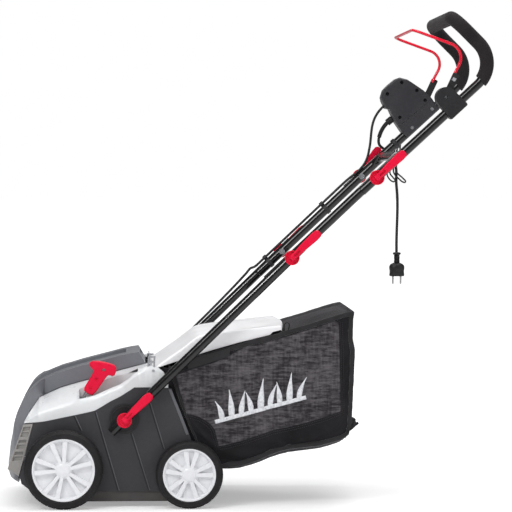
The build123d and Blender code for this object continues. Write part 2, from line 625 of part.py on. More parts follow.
for side_name, side in (("left", -1), ("right", 1)):
    for end, axis, y_mid, radius, rim_r, width, grooves, rib_angle, bore_end_y in WHEELS:
        with BuildPart() as tyre:
            build_tyre(axis, y_mid, side, radius, rim_r, width, grooves)
        save(tyre, f"{end}_{side_name}_tyre")
        with BuildPart() as rim:
            build_rim(axis, y_mid, side, rim_r, width, rib_angle, bore_end_y)
        save(rim, f"{end}_{side_name}_rim")

# ================================================================ tine rotor and motor
with BuildPart() as rotor_shaft:
    turned(ROTOR, [(-200, 0), (-200, ROTOR_SHAFT_R - 1), (-199, ROTOR_SHAFT_R),
                   (199, ROTOR_SHAFT_R), (200, ROTOR_SHAFT_R - 1), (200, 0)])
save(rotor_shaft, "rotor_shaft")

# collars on the shaft, each with two opposite tines curving over their length
TINE_COUNT, TINE_PITCH, FIRST_TINE_Y = 13, 26.5, -168
TINE_ROOT, TINE_R = 15.5, 74.0
TINE_STEPS = 6
TINE_TWIST = 37                # degrees from one collar to the next
TINE_CURVE = math.radians(10)

with BuildPart() as spring_tines:
    for i in range(TINE_COUNT):
        y = FIRST_TINE_Y + i * TINE_PITCH
        disc(ROTOR, 17, y - 4, y + 4, r_in=ROTOR_SHAFT_R + SNUG)
        for j in range(2):
            start = math.radians(TINE_TWIST * i + 180 * j)
            upper_edge, lower_edge = [], []
            for k in range(TINE_STEPS + 1):
                reach = TINE_ROOT + (TINE_R - TINE_ROOT) * k / TINE_STEPS
                angle = start + TINE_CURVE * (k / TINE_STEPS) ** 2
                half = 1.8 if k < TINE_STEPS else 0.8
                upper_edge.append(along(ROTOR, angle, reach, half))
                lower_edge.append(along(ROTOR, angle, reach, -half))
            prism(upper_edge + lower_edge[::-1], y - 1.5, y + 1.5)
save(spring_tines, "spring_tines")


def build_pulley(centre, bore, groove_r, flange_r):
    """Flat-grooved pulley in the belt plane."""
    turned(centre, [(178, bore), (178, flange_r), (179.5, flange_r), (179.5, groove_r),
                    (190.5, groove_r), (190.5, flange_r), (192, flange_r), (192, bore)])


with BuildPart() as rotor_pulley:
    build_pulley(ROTOR, ROTOR_SHAFT_R + SNUG, ROTOR_PULLEY_R, 47)
save(rotor_pulley, "rotor_pulley")

# motor shaft with a thin disc at its left end and the armature body
with BuildPart() as armature:
    turned(MOTOR, [
        (-90, 0), (-90, MOTOR_SHAFT_R), (-84, MOTOR_SHAFT_R), (-84, 46), (-80, 46),
        (-80, MOTOR_SHAFT_R), (-45, MOTOR_SHAFT_R), (-45, 29), (56, 29), (56, MOTOR_SHAFT_R),
        (194, MOTOR_SHAFT_R), (194, 0)])
save(armature, "motor_armature_shaft")

with BuildPart() as motor_pulley:
    build_pulley(MOTOR, MOTOR_SHAFT_R + SNUG, MOTOR_PULLEY_R, 13.5)
save(motor_pulley, "motor_pulley")

# ================================================================ rear flap
FLAP = [
    (41, 314), (78, 338), (110, 361), (139, 383), (151, 391), (195, 399), (261, 406.5),
    (321.5, 412.6), (343, 414), (341, 409), (338, 404.5), (318, 393.5), (245, 376.8),
    (176, 357.6), (144, 347), (80, 327.5), (57, 320)]
FLAP_IN = [
    (44, 306), (80, 335.2), (111.5, 358), (140.5, 380), (152, 387.8), (195.5, 395.8),
    (261.3, 403.3), (320, 409.2), (335, 409.8), (334, 380), (245, 350), (144, 320), (60, 300)]
EYE_R = 6.5

with BuildPart() as rear_flap:
    prism(FLAP, -195, 195)
    prism(FLAP_IN, -192, 192, mode=Mode.SUBTRACT)
    for y0, y1 in ((-140, -90), (-25, 25), (90, 140)):
        disc(HINGE, EYE_R, y0, y1)
        prism([(42, 313), (50, 310), (66, 326), (58, 328)], y0, y1)
    for side in SIDES:
        disc(HINGE, EYE_R, *span(side, 192, 195))
        prism([(42, 316), (48, 306), (60, 321)], *span(side, 192, 195))
    for y in (-SPRING_Y, SPRING_Y):   # notches for the springs
        prism([(30, 300), (54, 300), (54, 334), (30, 334)], y - 10.5, y + 10.5,
              mode=Mode.SUBTRACT)
    disc(HINGE, HINGE_R + RUN, -200, 200, mode=Mode.SUBTRACT)
save(rear_flap, "rear_flap")

# ================================================================ grass bag
BAG = [
    (84, 318), (92, 292), (103, 258), (112, 232), (124, 201), (136, 172), (149, 140),
    (168, 108), (206, 86), (222, 91), (245, 95), (268, 102), (290, 109), (313, 118),
    (336, 125), (359, 131), (382, 135), (405, 138), (428, 140), (450.5, 145), (473, 151),
    (494, 163), (500, 190), (503, 238), (505, 279.5), (505, 325), (508, 359.5), (503, 382),
    (503, 428), (506, 446), (485, 442), (450.5, 431.5), (405, 417), (359, 404), (318, 391),
    (268, 378.5), (222, 365.5), (144, 343), (119, 333.5)]
BAG_IN = [   # passes the front edge of BAG, so the bag is open to the front
    (60, 306), (66, 292), (80, 258), (90, 232), (100, 201), (112, 172), (125, 140),
    (150, 100), (190, 86), (206, 90.2), (222, 95), (245, 99), (268, 106), (290, 113),
    (313, 122), (336, 129), (359, 135), (382, 139), (405, 142), (428, 144), (450.5, 149),
    (472, 155), (490, 166), (496, 190), (499, 238), (501, 279.5), (501, 325), (503.5, 359.5),
    (499, 382), (499, 428), (500, 440), (485, 437.6), (450.5, 427), (405, 412.6),
    (359, 399.6), (318, 386.6), (268, 374), (222, 361), (144, 338.5), (119, 329), (84, 316)]

with BuildPart() as bag_fabric:
    prism(BAG, -202, 202)
    prism(BAG_IN, -198.5, 198.5, mode=Mode.SUBTRACT)
save(bag_fabric, "bag_fabric")

# two wire bows inside the bag and a plate on each side
with BuildPart() as bag_frame:
    pipe(bow([(180, 104), (99, 298)], 192), [16, 16], 3)
    pipe(bow([(112, 322), (318, 379), (488, 428)], 192), [60, 16, 16, 60], 3)
    for side in SIDES:
        prism([(121, 333.5), (144, 342), (222, 364), (221, 346), (208, 341), (150, 322),
               (126, 316)], *span(side, 202.1, 204.8))
save(bag_frame, "bag_frame")

# ================================================================ handle
with BuildPart() as lower_tubes:
    for side in SIDES:
        side_rod(along(PIVOT_LOW, ANG_LOW, -42), along(PIVOT_MID, ANG_LOW, 34), side * LOW_Y,
                 TUBE_R, r_in=TUBE_IN)
    disc(PIVOT_LOW, STUD_R + RUN, -240, 240, mode=Mode.SUBTRACT)
    disc(PIVOT_MID, BOLT_R + SNUG, -240, 240, mode=Mode.SUBTRACT)
save(lower_tubes, "lower_tubes")

with BuildPart() as middle_tube:
    pipe(bow([along(PIVOT_MID, ANG_MID, -77), along(PIVOT_TOP, ANG_MID, 71.0)], MID_Y),
         [34, 34], TUBE_R, r_in=TUBE_IN)
    for pivot in (PIVOT_MID, PIVOT_TOP):
        disc(pivot, BOLT_R + RUN, -215, 215, mode=Mode.SUBTRACT)
save(middle_tube, "middle_tube")

# upper tube and the foam grip on its bent top share the same knees
UPPER_KNEES = [along(PIVOT_TOP, ANG_UP, 382.45), (731.0, 1120.0)]
UPPER_BENDS = [65, 42, 42, 65]

with BuildPart() as upper_tube:
    pipe(bow([along(PIVOT_TOP, ANG_UP, -46)] + UPPER_KNEES, UP_Y), UPPER_BENDS, TUBE_R,
         r_in=TUBE_IN)
    disc(PIVOT_TOP, BOLT_R + SNUG, -240, 240, mode=Mode.SUBTRACT)
save(upper_tube, "upper_tube")

with BuildPart() as foam_grip:
    pipe(bow([(786.5, 966.0)] + UPPER_KNEES, UP_Y), UPPER_BENDS, 16.0, r_in=TUBE_BORE)
    for side in SIDES:   # square-cut lower ends
        prism(outline_along(PIVOT_TOP, ANG_UP, [(300, -30), (325.5, -30), (325.5, 30), (300, 30)]),
              *span(side, 200, 245), mode=Mode.SUBTRACT)
save(foam_grip, "foam_grip")

# joint bolts: head inside, shank through both tubes, washer between the tubes
for name, pivot in (("pivot_bolts_lower", PIVOT_MID), ("pivot_bolts_upper", PIVOT_TOP)):
    with BuildPart() as bolts:
        for side in SIDES:
            disc(pivot, BOLT_R, *span(side, 180, STUD_END_Y))
            disc(pivot, 7.0, *span(side, 180, 186.8))
            disc(pivot, 9.0, *span(side, 209.2, 210.8))
    save(bolts, name)

# round cups that the cam levers bear on
CUPS = [   # name, then pivot and hole radius of each pair
    ("cam_cups_lower", ((PIVOT_LOW, STUD_R + SNUG), (PIVOT_MID, BOLT_R + SNUG))),
    ("cam_cups_upper", ((PIVOT_TOP, BOLT_R + SNUG),))]

for name, pairs in CUPS:
    with BuildPart() as cups:
        for pivot, hole in pairs:
            for side in SIDES:
                turned(pivot, on_side(side, [
                    (233.1, hole), (233.1, 16), (234.5, 17), (240, 17), (240, 14.5),
                    (236.5, 14.5), (236.5, hole)]))
                disc(pivot, hole, *span(side, 232, 241), mode=Mode.SUBTRACT)
    save(cups, name)

# cam levers: a barrel across the cup and an arm that widens to a rounded end
CAM_ARM = [   # distance, perp
    (-4.2, 6.2), (14, 7), (34, 9), (70, 10.5), (82, 9), (86, 4), (86, -4), (82, -9), (70, -10),
    (34, -8), (14, -7), (-4.2, -6.2)]
CAM_SLOT = [(7, 2.2), (24, 2.2), (24, -2.2), (7, -2.2)]


def build_cam_lever(pivot, angle, side):
    prism(outline_along(pivot, angle, CAM_ARM), *span(side, 240.4, 247.5))
    bevel(faces().filter_by(Axis.Y).sort_by(Axis.Y)[0 if side < 0 else -1], 2.0)
    side_rod(along(pivot, angle, 0, -7), along(pivot, angle, 0, 7), side * 243.2, 5.4)
    # slot beside the barrel, along the arm
    prism(outline_along(pivot, angle, CAM_SLOT), *span(side, 243.5, 248.5), mode=Mode.SUBTRACT)


CAM_LEVERS = [   # joint, pivot, left angle, right angle
    ("lower", PIVOT_LOW, ANG_LOW, ANG_LOW),
    ("middle", PIVOT_MID, ANG_MID, ANG_MID),
    ("upper", PIVOT_TOP, ANG_UP, ANG_UP + math.radians(12))]

for joint, pivot, left_angle, right_angle in CAM_LEVERS:
    for side_name, side, angle in (("left", -1, left_angle), ("right", 1, right_angle)):
        with BuildPart() as cam_lever:
            build_cam_lever(pivot, angle, side)
        save(cam_lever, f"cam_lever_{joint}_{side_name}")

# cable clips on the right leg of the middle tube
CABLE_PERP = 17                # cable axis above the tube axis

with BuildPart() as cable_clips:
    for distance in (-40, 150):
        tube_ends = [along(PIVOT_MID, ANG_MID, distance + d) for d in (-5, 5)]
        cable_ends = [along(PIVOT_MID, ANG_MID, distance + d, CABLE_PERP) for d in (-5, 5)]
        side_rod(*tube_ends, MID_Y, 13, r_in=TUBE_BORE)
        side_rod(*cable_ends, MID_Y, 5.5)
        side_rod(*cable_ends, MID_Y, CABLE_R + SNUG, mode=Mode.SUBTRACT)
        side_rod(*tube_ends, MID_Y, TUBE_BORE, mode=Mode.SUBTRACT)
save(cable_clips, "cable_clips")

with BuildPart() as cable_mid:
    side_rod(along(PIVOT_MID, ANG_MID, -70, CABLE_PERP), along(PIVOT_MID, ANG_MID, 212, CABLE_PERP),
             MID_Y, CABLE_R)
save(cable_mid, "motor_cable_middle")

with BuildPart() as cable_low:
    cable_line = outline_along(PIVOT_LOW, ANG_LOW,
                               [(40, 15.5), (150, 15.2), (300, 15.5), (430, 20)])
    cord([(x, LOW_Y - 3, z) for x, z in cable_line], CABLE_R)
save(cable_low, "motor_cable_lower")

# ================================================================ upper handle fittings
# distance of the bail pivot from the upper joint, along the upper tube
BAIL_DIST = ((BAIL[0] - PIVOT_TOP[0]) * math.cos(ANG_UP)
             + (BAIL[1] - PIVOT_TOP[1]) * math.sin(ANG_UP))


def upper_outline(offsets, start=0.0):
    """Outline from (distance, perp) pairs along the upper tube."""
    return [along(PIVOT_TOP, ANG_UP, start + distance, perp) for distance, perp in offsets]


# D-shaped boss on the left tube with a slot for the bail bracket
with BuildPart() as bail_clamp:
    disc(BAIL, 24, -240, -205)
    prism(upper_outline([(-24, -18), (24, -18), (26, -14), (24, 28), (-24, 28), (-26, -14)],
                        BAIL_DIST), -240, -205)
    side_rod(*upper_outline([(-60, 0), (60, 0)], BAIL_DIST), -UP_Y, TUBE_BORE,
             mode=Mode.SUBTRACT)
    prism(upper_outline([(-34, 15.0), (34, 15.0), (34, 60), (-34, 60)], BAIL_DIST),
          -220.6, -215.4, mode=Mode.SUBTRACT)
    disc(BAIL, BOLT_R, -241, -204, mode=Mode.SUBTRACT)
save(bail_clamp, "bail_clamp")

# switch box round the right tube, split along a seam into body and shoe
BOX = [
    (650, 995), (669, 990), (686, 979), (708, 964), (723, 951), (730, 943), (747, 917),
    (681, 857), (669, 847), (655, 864), (638, 889), (625.5, 918), (616, 920), (608, 937),
    (606, 947), (611, 964), (621, 975), (640, 991)]
BUTTON = (676, 938)
SCREWS = [
    (655, 983), (619.8, 955), (691.9, 963.8), (712, 939.9), (650.5, 898), (729.5, 918.5),
    (681, 872.8)]
SEAM_START, SEAM_END = (665.4, 889.8), (710.4, 927.0)
SEAM_ANGLE = math.atan2(SEAM_END[1] - SEAM_START[1], SEAM_END[0] - SEAM_START[0])

with BuildPart() as switch_box:
    prism(BOX, 188, 250)
    y_faces = faces().filter_by(Axis.Y).sort_by(Axis.Y)
    for face in (y_faces[0], y_faces[-1]):
        bevel(face, 3.0)
    # tube bore, open to the underside
    side_rod(*upper_outline([(60, 0), (330, 0)]), UP_Y, TUBE_BORE, mode=Mode.SUBTRACT)
    prism(upper_outline([(60, 0), (330, 0), (330, -40), (60, -40)]),
          UP_Y - TUBE_BORE, UP_Y + TUBE_BORE, mode=Mode.SUBTRACT)
    # bail bracket slot and the wider cut behind it
    prism(upper_outline([(-12, 17.2), (60, 17.2), (60, 70), (-12, 70)], BAIL_DIST),
          215.4, 220.6, mode=Mode.SUBTRACT)
    prism(upper_outline([(8, 17.2), (60, 17.2), (60, 70), (8, 70)], BAIL_DIST),
          205, 223, mode=Mode.SUBTRACT)
    disc(BAIL, BOLT_R, 205, 228, mode=Mode.SUBTRACT)
    disc(BUTTON, 9 + RUN, 240, 251, mode=Mode.SUBTRACT)
    for centre in SCREWS:
        disc(centre, 4.4, 187, 190.5, mode=Mode.SUBTRACT)
box_solid = switch_box.part

# each half loses the other side of the seam: perp of the cut's near and far edge
for name, near, far in (("switch_box_body", .25, -160), ("switch_box_shoe", -.25, 200)):
    with BuildPart() as box_half:
        add(box_solid)
        prism(outline_along(SEAM_START, SEAM_ANGLE,
                            [(-120, near), (220, near), (220, far), (-120, far)]),
              150, 300, mode=Mode.SUBTRACT)
    save(box_half, name)

with BuildPart() as switch_screws:
    for centre in SCREWS:
        disc(centre, 4.2, 188.4, 190.45)
        disc(centre, 1.6, 188.0, 189.6, mode=Mode.SUBTRACT)
save(switch_screws, "switch_screws")

with BuildPart() as lock_button:
    turned(BUTTON, [(244.2, 0), (244.2, 9), (253, 9), (255.5, 7), (256, 0)])
save(lock_button, "lock_button")

with BuildPart() as bail_wire:
    pipe(bow([(731.5, 984.0), (764.6, 1046.6), (640, 1092.0)], 212), [34, 24, 24, 34], 3.4)
save(bail_wire, "bail_wire")

# flat brackets with a pivot pin and a small square tab on the outer face
BRACKET_ANGLE = math.atan2(48.2, 22.7)
BRACKET = [(0, 8), (58, 8), (60, 6), (60, -6), (58, -8), (0, -8)]

with BuildPart() as bail_brackets:
    for side, pin_end in ((-1, 228), (1, 226)):
        prism(outline_along(BAIL, BRACKET_ANGLE, BRACKET), *span(side, 216, 220))
        disc(BAIL, 8, *span(side, 216, 220))
        disc(BAIL, BOLT_R - RUN, *span(side, 212, pin_end))
        tab = along(BAIL, BRACKET_ANGLE, 46)
        prism(outline_along(tab, BRACKET_ANGLE, [(-4, 4), (4, 4), (4, -4), (-4, -4)]),
              *span(side, 220, 222))
save(bail_brackets, "bail_brackets")

# thin motor cable leaving the box
BOX_CUT = (187, 251)
with BuildPart() as cable_up:
    cord([(618, 214, 930), (610.2, 214, 923), (598, 214, 908.4), (588.2, 213, 888.9),
          (583.4, 212, 867), (580.9, 211, 842.5), (577, 210, 818)], CABLE_R)
    side_rod((626, 938), (615, 926), 214, 5.5)
    prism(BOX, *BOX_CUT, mode=Mode.SUBTRACT)
save(cable_up, "motor_cable_upper")

# mains lead: bend relief at the box, run to the hook and the hanging end
with BuildPart() as mains_cord:
    cord([(634, 238, 893), (624, 240, 885), (612, 246, 868), (605, 251, 848),
          (606, 252, 832), (622, 252, 818), (640, 252, 796), (648, 252, 770),
          (648, 252, 745), (650, 251, 715), (651, 250, 690), (650.5, 250, 650),
          (649, 250, 600), (649, 250, 567)], MAINS_R)
    cord([(636, 237.5, 895), (624, 240, 885), (612, 246, 868), (605.5, 250.5, 850)], 5.0)
    prism(BOX, *BOX_CUT, mode=Mode.SUBTRACT)
    rod((636, 237.5, 895), (624.5, 239.8, 885.5), 8.5)
    prism(BOX, *BOX_CUT, mode=Mode.SUBTRACT)
save(mains_cord, "mains_cord")

# collar on the right tube with a closed wire-like loop hanging from it
HOOK_ENDS = upper_outline([(112, 0), (122, 0)])
HOOK_MID = along(PIVOT_TOP, ANG_UP, 117)
HOOK_LOOP = [   # dx, dz from the middle of the collar
    (-2, -2), (2, -40), (-10, -82), (5, -97), (28, -84), (22, -50), (8, -2)]

with BuildPart() as cord_hook:
    side_rod(*HOOK_ENDS, UP_Y, 13.5, r_in=TUBE_BORE)
    with BuildSketch(Plane.XZ.offset(-238.5)) as loop_sketch:
        with BuildLine():
            FilletPolyline(*[to_model((HOOK_MID[0] + dx, HOOK_MID[1] + dz))
                             for dx, dz in HOOK_LOOP], radius=4, close=True)
        make_face()
        offset(amount=-3.5, mode=Mode.SUBTRACT)
    extrude(to_extrude=loop_sketch.sketch, amount=4.5)
    side_rod(*HOOK_ENDS, UP_Y, TUBE_BORE, mode=Mode.SUBTRACT)
save(cord_hook, "cord_hook")

# mains plug, hanging with its pins down
PLUG_X, PLUG_Y, PLUG_TOP = 649.0, 243.0, 566.0
PIN_OFFSETS = (-9.5, 9.5)
PIN_NECK_R, PIN_R = 2.0, 2.4


def plug_plane(depth, dx=0.0):
    """Horizontal plane at a depth below the plug top, dx beside its axis."""
    return Plane(origin=(PLUG_X - ORIGIN_X + dx, PLUG_Y, PLUG_TOP - depth), z_dir=(0, 0, 1))


with BuildPart() as mains_plug:
    with BuildSketch(plug_plane(29)) as neck_low:
        Circle(6.5)
    with BuildSketch(plug_plane(0)) as neck_top:
        Circle(4.6)
    loft(sections=[neck_low.sketch.faces()[0], neck_top.sketch.faces()[0]])
    with BuildSketch(plug_plane(58)) as body_low:
        RectangleRounded(37, 30, 12)
    with BuildSketch(plug_plane(40)) as body_mid:
        RectangleRounded(39, 31, 12)
    with BuildSketch(plug_plane(29)) as body_top:
        RectangleRounded(26, 24, 10)
    loft(sections=[s.sketch.faces()[0] for s in (body_low, body_mid, body_top)], ruled=True)
    with BuildSketch(plug_plane(0)) as cord_hole:
        Circle(MAINS_R + RUN)
    extrude(to_extrude=cord_hole.sketch, amount=-8, mode=Mode.SUBTRACT)
    for dx in PIN_OFFSETS:
        with BuildSketch(plug_plane(59, dx)) as pin_hole:
            Circle(PIN_NECK_R + SNUG)
        extrude(to_extrude=pin_hole.sketch, amount=9, mode=Mode.SUBTRACT)
save(mains_plug, "mains_plug")

with BuildPart() as plug_pins:
    for dx in PIN_OFFSETS:
        inner_end, shoulder, tip = [(PLUG_X + dx, PLUG_TOP - depth) for depth in (50.5, 59, 76)]
        side_rod(inner_end, shoulder, PLUG_Y, PIN_NECK_R)
        side_rod(shoulder, tip, PLUG_Y, PIN_R)
        with BuildSketch(plug_plane(76, dx)) as pin_tip:
            Circle(PIN_R)
        extrude(to_extrude=pin_tip.sketch, amount=-1.2, taper=30)
save(plug_pins, "plug_pins")
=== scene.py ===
import math

import bmesh
import bpy
import numpy as np
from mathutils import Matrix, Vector


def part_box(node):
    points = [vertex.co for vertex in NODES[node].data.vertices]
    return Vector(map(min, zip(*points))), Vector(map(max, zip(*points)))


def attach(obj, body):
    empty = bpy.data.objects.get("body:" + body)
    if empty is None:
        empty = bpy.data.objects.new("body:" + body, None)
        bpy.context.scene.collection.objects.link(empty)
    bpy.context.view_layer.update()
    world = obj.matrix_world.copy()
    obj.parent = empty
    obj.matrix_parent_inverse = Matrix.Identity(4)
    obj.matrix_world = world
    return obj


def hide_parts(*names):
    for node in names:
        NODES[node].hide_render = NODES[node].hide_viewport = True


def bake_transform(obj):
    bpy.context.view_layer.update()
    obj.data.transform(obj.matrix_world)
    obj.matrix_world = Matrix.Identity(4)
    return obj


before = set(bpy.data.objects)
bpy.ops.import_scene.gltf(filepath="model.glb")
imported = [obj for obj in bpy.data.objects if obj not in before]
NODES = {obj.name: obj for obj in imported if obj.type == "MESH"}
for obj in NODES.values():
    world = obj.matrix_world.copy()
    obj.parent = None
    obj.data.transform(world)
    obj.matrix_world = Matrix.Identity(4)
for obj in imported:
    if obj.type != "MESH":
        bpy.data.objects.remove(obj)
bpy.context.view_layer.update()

SCENE = bpy.context.scene

# the design frame's x origin, read off the rear axle's own place in the frame
_lo, _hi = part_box("rear_left_rim")
X0 = 127.4 - 500.0 * (_lo.x + _hi.x)


def P(x, y, z):
    """Design-frame millimetres to metres in the row frame."""
    return Vector(((x - X0) / 1000.0, y / 1000.0, z / 1000.0))


# ------------------------------------------------------------------ colour
def lin(c):
    out = []
    for v in c:
        v = v / 255.0
        out.append(v / 12.92 if v <= 0.04045 else ((v + 0.055) / 1.055) ** 2.4)
    return (out[0], out[1], out[2], 1.0)


# ------------------------------------------------------------------ materials
class M:
    """A small node builder: every material has colour variation, roughness variation, grain bump and edge wear."""

    def __init__(self, name):
        self.m = bpy.data.materials.new(name)
        self.m.use_nodes = True
        self.t = self.m.node_tree
        self.n = self.t.nodes
        self.n.clear()
        self.out = self.n.new("ShaderNodeOutputMaterial")
        self.b = self.n.new("ShaderNodeBsdfPrincipled")
        self.link(self.b.outputs[0], self.out.inputs[0])
        self.tc = self.n.new("ShaderNodeTexCoord")
        self.co = self.tc.outputs["Object"]

    def link(self, a, b):
        self.t.links.new(a, b)

    def val(self, v):
        x = self.n.new("ShaderNodeValue")
        x.outputs[0].default_value = v
        return x.outputs[0]

    def mapping(self, scale=(1, 1, 1), rot=(0, 0, 0), co=None):
        x = self.n.new("ShaderNodeMapping")
        x.inputs["Scale"].default_value = scale
        x.inputs["Rotation"].default_value = rot
        self.link(co or self.co, x.inputs["Vector"])
        return x.outputs[0]

    def noise(self, scale, detail=4.0, rough=0.55, co=None, distortion=0.0):
        x = self.n.new("ShaderNodeTexNoise")
        x.inputs["Scale"].default_value = scale
        x.inputs["Detail"].default_value = detail
        x.inputs["Roughness"].default_value = rough
        x.inputs["Distortion"].default_value = distortion
        self.link(co or self.co, x.inputs["Vector"])
        return x.outputs["Fac"]

    def voronoi(self, scale, feature="F1", co=None, rand=1.0):
        x = self.n.new("ShaderNodeTexVoronoi")
        x.feature = feature
        x.inputs["Scale"].default_value = scale
        x.inputs["Randomness"].default_value = rand
        self.link(co or self.co, x.inputs["Vector"])
        return x.outputs["Distance"]

    def wave(self, scale, axis="X", distortion=0.0, co=None, profile="SIN", detail=2.0, dscale=1.0):
        x = self.n.new("ShaderNodeTexWave")
        x.bands_direction = axis
        x.wave_profile = profile
        x.inputs["Scale"].default_value = scale
        x.inputs["Distortion"].default_value = distortion
        x.inputs["Detail"].default_value = detail
        x.inputs["Detail Scale"].default_value = dscale
        self.link(co or self.co, x.inputs["Vector"])
        return x.outputs["Fac"]

    def math(self, op, a, b=None, clamp=False):
        x = self.n.new("ShaderNodeMath")
        x.operation = op
        x.use_clamp = clamp
        for i, v in enumerate((a, b)):
            if v is None:
                continue
            if isinstance(v, (int, float)):
                x.inputs[i].default_value = v
            else:
                self.link(v, x.inputs[i])
        return x.outputs[0]

    def maprange(self, v, a, b, c, d, smooth=True):
        x = self.n.new("ShaderNodeMapRange")
        x.interpolation_type = "SMOOTHSTEP" if smooth else "LINEAR"
        for k, q in (("From Min", a), ("From Max", b), ("To Min", c), ("To Max", d)):
            x.inputs[k].default_value = q
        self.link(v, x.inputs["Value"])
        return x.outputs[0]

    def mix(self, fac, a, b, mode="MIX"):
        x = self.n.new("ShaderNodeMix")
        x.data_type = "RGBA"
        x.blend_type = mode
        x.clamp_factor = True
        for s, v in ((x.inputs[0], fac), (x.inputs[6], a), (x.inputs[7], b)):
            if isinstance(v, (int, float)):
                s.default_value = v
            elif isinstance(v, tuple):
                s.default_value = v
            else:
                self.link(v, s)
        return x.outputs[2]

    def mixf(self, fac, a, b):
        x = self.n.new("ShaderNodeMix")
        x.data_type = "FLOAT"
        for s, v in ((x.inputs[0], fac), (x.inputs[2], a), (x.inputs[3], b)):
            if isinstance(v, (int, float)):
                s.default_value = v
            else:
                self.link(v, s)
        return x.outputs[0]

    def attr(self, name):
        x = self.n.new("ShaderNodeAttribute")
        x.attribute_name = name
        return x.outputs["Fac"]

    def edge(self, radius, samples=4):
        """(rounded normal, mask that is 1 on sharp edges)."""
        bv = self.n.new("ShaderNodeBevel")
        bv.samples = samples
        bv.inputs["Radius"].default_value = radius
        geo = self.n.new("ShaderNodeNewGeometry")
        dot = self.n.new("ShaderNodeVectorMath")
        dot.operation = "DOT_PRODUCT"
        self.link(bv.outputs[0], dot.inputs[0])
        self.link(geo.outputs["Normal"], dot.inputs[1])
        mask = self.maprange(dot.outputs["Value"], 0.80, 0.985, 1.0, 0.0)
        return bv.outputs[0], mask

    def bump(self, height, strength, distance=0.0005, normal=None):
        x = self.n.new("ShaderNodeBump")
        x.inputs["Strength"].default_value = strength
        x.inputs["Distance"].default_value = distance
        self.link(height, x.inputs["Height"])
        if normal is not None:
            self.link(normal, x.inputs["Normal"])
        return x.outputs[0]

    def set(self, key, v):
        if isinstance(v, (int, float, tuple)):
            self.b.inputs[key].default_value = v
        else:
            self.link(v, self.b.inputs[key])


def plastic(name, rgb, rough=0.4, var=0.10, rvar=0.10, grain=1600.0, gstr=0.10, gdist=0.00012, coat=0.0, wear=0.25, wear_rgb=None,
            bevel=0.0009, spec=0.5, sheen=0.0, metal=0.0, macro=9.0, streak=None, dust=0.0):
    m = M(name)
    base = lin(rgb)
    dark = tuple(v * (1 - var) for v in base[:3]) + (1.0,)
    light = tuple(min(1.0, v * (1 + var * 0.6) + 0.004) for v in base[:3]) + (1.0,)
    big = m.noise(macro, 5.0, 0.6)
    fine = m.noise(140.0, 3.0, 0.6)
    f = m.math("ADD", m.math("MULTIPLY", big, 0.65), m.math("MULTIPLY", fine, 0.35))
    col = m.mix(m.maprange(f, 0.34, 0.66, 0.0, 1.0), dark, light)
    nrm, mask = m.edge(bevel)
    worn = wear_rgb if wear_rgb else tuple(min(255, c + (255 - c) * 0.28) for c in rgb)
    scuff = m.maprange(m.noise(55.0, 6.0, 0.7), 0.42, 0.62, 0.0, 1.0)
    col = m.mix(m.math("MULTIPLY", m.math("MULTIPLY", mask, scuff), wear), col, lin(worn))
    if dust > 0:
        geo = m.n.new("ShaderNodeNewGeometry")
        sep = m.n.new("ShaderNodeSeparateXYZ")
        m.link(geo.outputs["Normal"], sep.inputs[0])
        up = m.maprange(sep.outputs[2], 0.2, 1.0, 0.0, dust)
        col = m.mix(m.math("MULTIPLY", up, m.maprange(m.noise(30.0, 6.0, 0.7), 0.35, 0.7, 0.2, 1.0)), col, lin((196, 192, 184)))
    m.set("Base Color", col)
    rr = m.mixf(m.maprange(m.noise(24.0, 5.0, 0.65), 0.3, 0.7, 0.0, 1.0), max(0.05, rough - rvar), min(1.0, rough + rvar))
    rr = m.math("ADD", rr, m.math("MULTIPLY", mask, 0.08), clamp=True)
    m.set("Roughness", rr)
    g = m.noise(grain, 2.0, 0.5)
    if streak:
        g = m.math("ADD", g, m.math("MULTIPLY", m.noise(streak[0], 3.0, 0.6, co=m.mapping(streak[1])), streak[2]))
    m.set("Normal", m.bump(g, gstr, gdist, nrm))
    m.set("Metallic", metal)
    m.set("Specular IOR Level", spec)
    if coat > 0:
        m.set("Coat Weight", coat)
        m.set("Coat Roughness", 0.08)
    if sheen > 0:
        m.set("Sheen Weight", sheen)
        m.set("Sheen Roughness", 0.45)
    return m.m


MAT = {}
MAT["white"] = plastic("moulded_white", (231, 232, 235), rough=0.30, var=0.025, rvar=0.06, grain=900, gstr=0.05, coat=0.25, wear=0.10,
                       wear_rgb=(250, 250, 250), bevel=0.0007)
MAT["shell"] = plastic("moulded_shell_white", (218, 220, 222), rough=0.32, var=0.025, rvar=0.06, grain=900, gstr=0.05, coat=0.2, wear=0.10,
                       wear_rgb=(244, 244, 246), bevel=0.0007)
MAT["flap"] = plastic("moulded_white_flap", (242, 242, 244), rough=0.36, var=0.02, rvar=0.06, grain=900, gstr=0.05, coat=0.1, wear=0.10,
                      wear_rgb=(250, 250, 250), bevel=0.0003)
MAT["hood"] = plastic("hood_grey", (112, 114, 120), rough=0.36, var=0.05, rvar=0.07, grain=2300, gstr=0.14, wear=0.38, wear_rgb=(176, 178, 184),
                      bevel=0.0016, coat=0.12)
MAT["side"] = plastic("housing_charcoal", (53, 53, 57), rough=0.48, var=0.07, rvar=0.08, grain=2600, gstr=0.30, wear=0.42, wear_rgb=(150, 152, 156),
                      bevel=0.0011, spec=0.45)


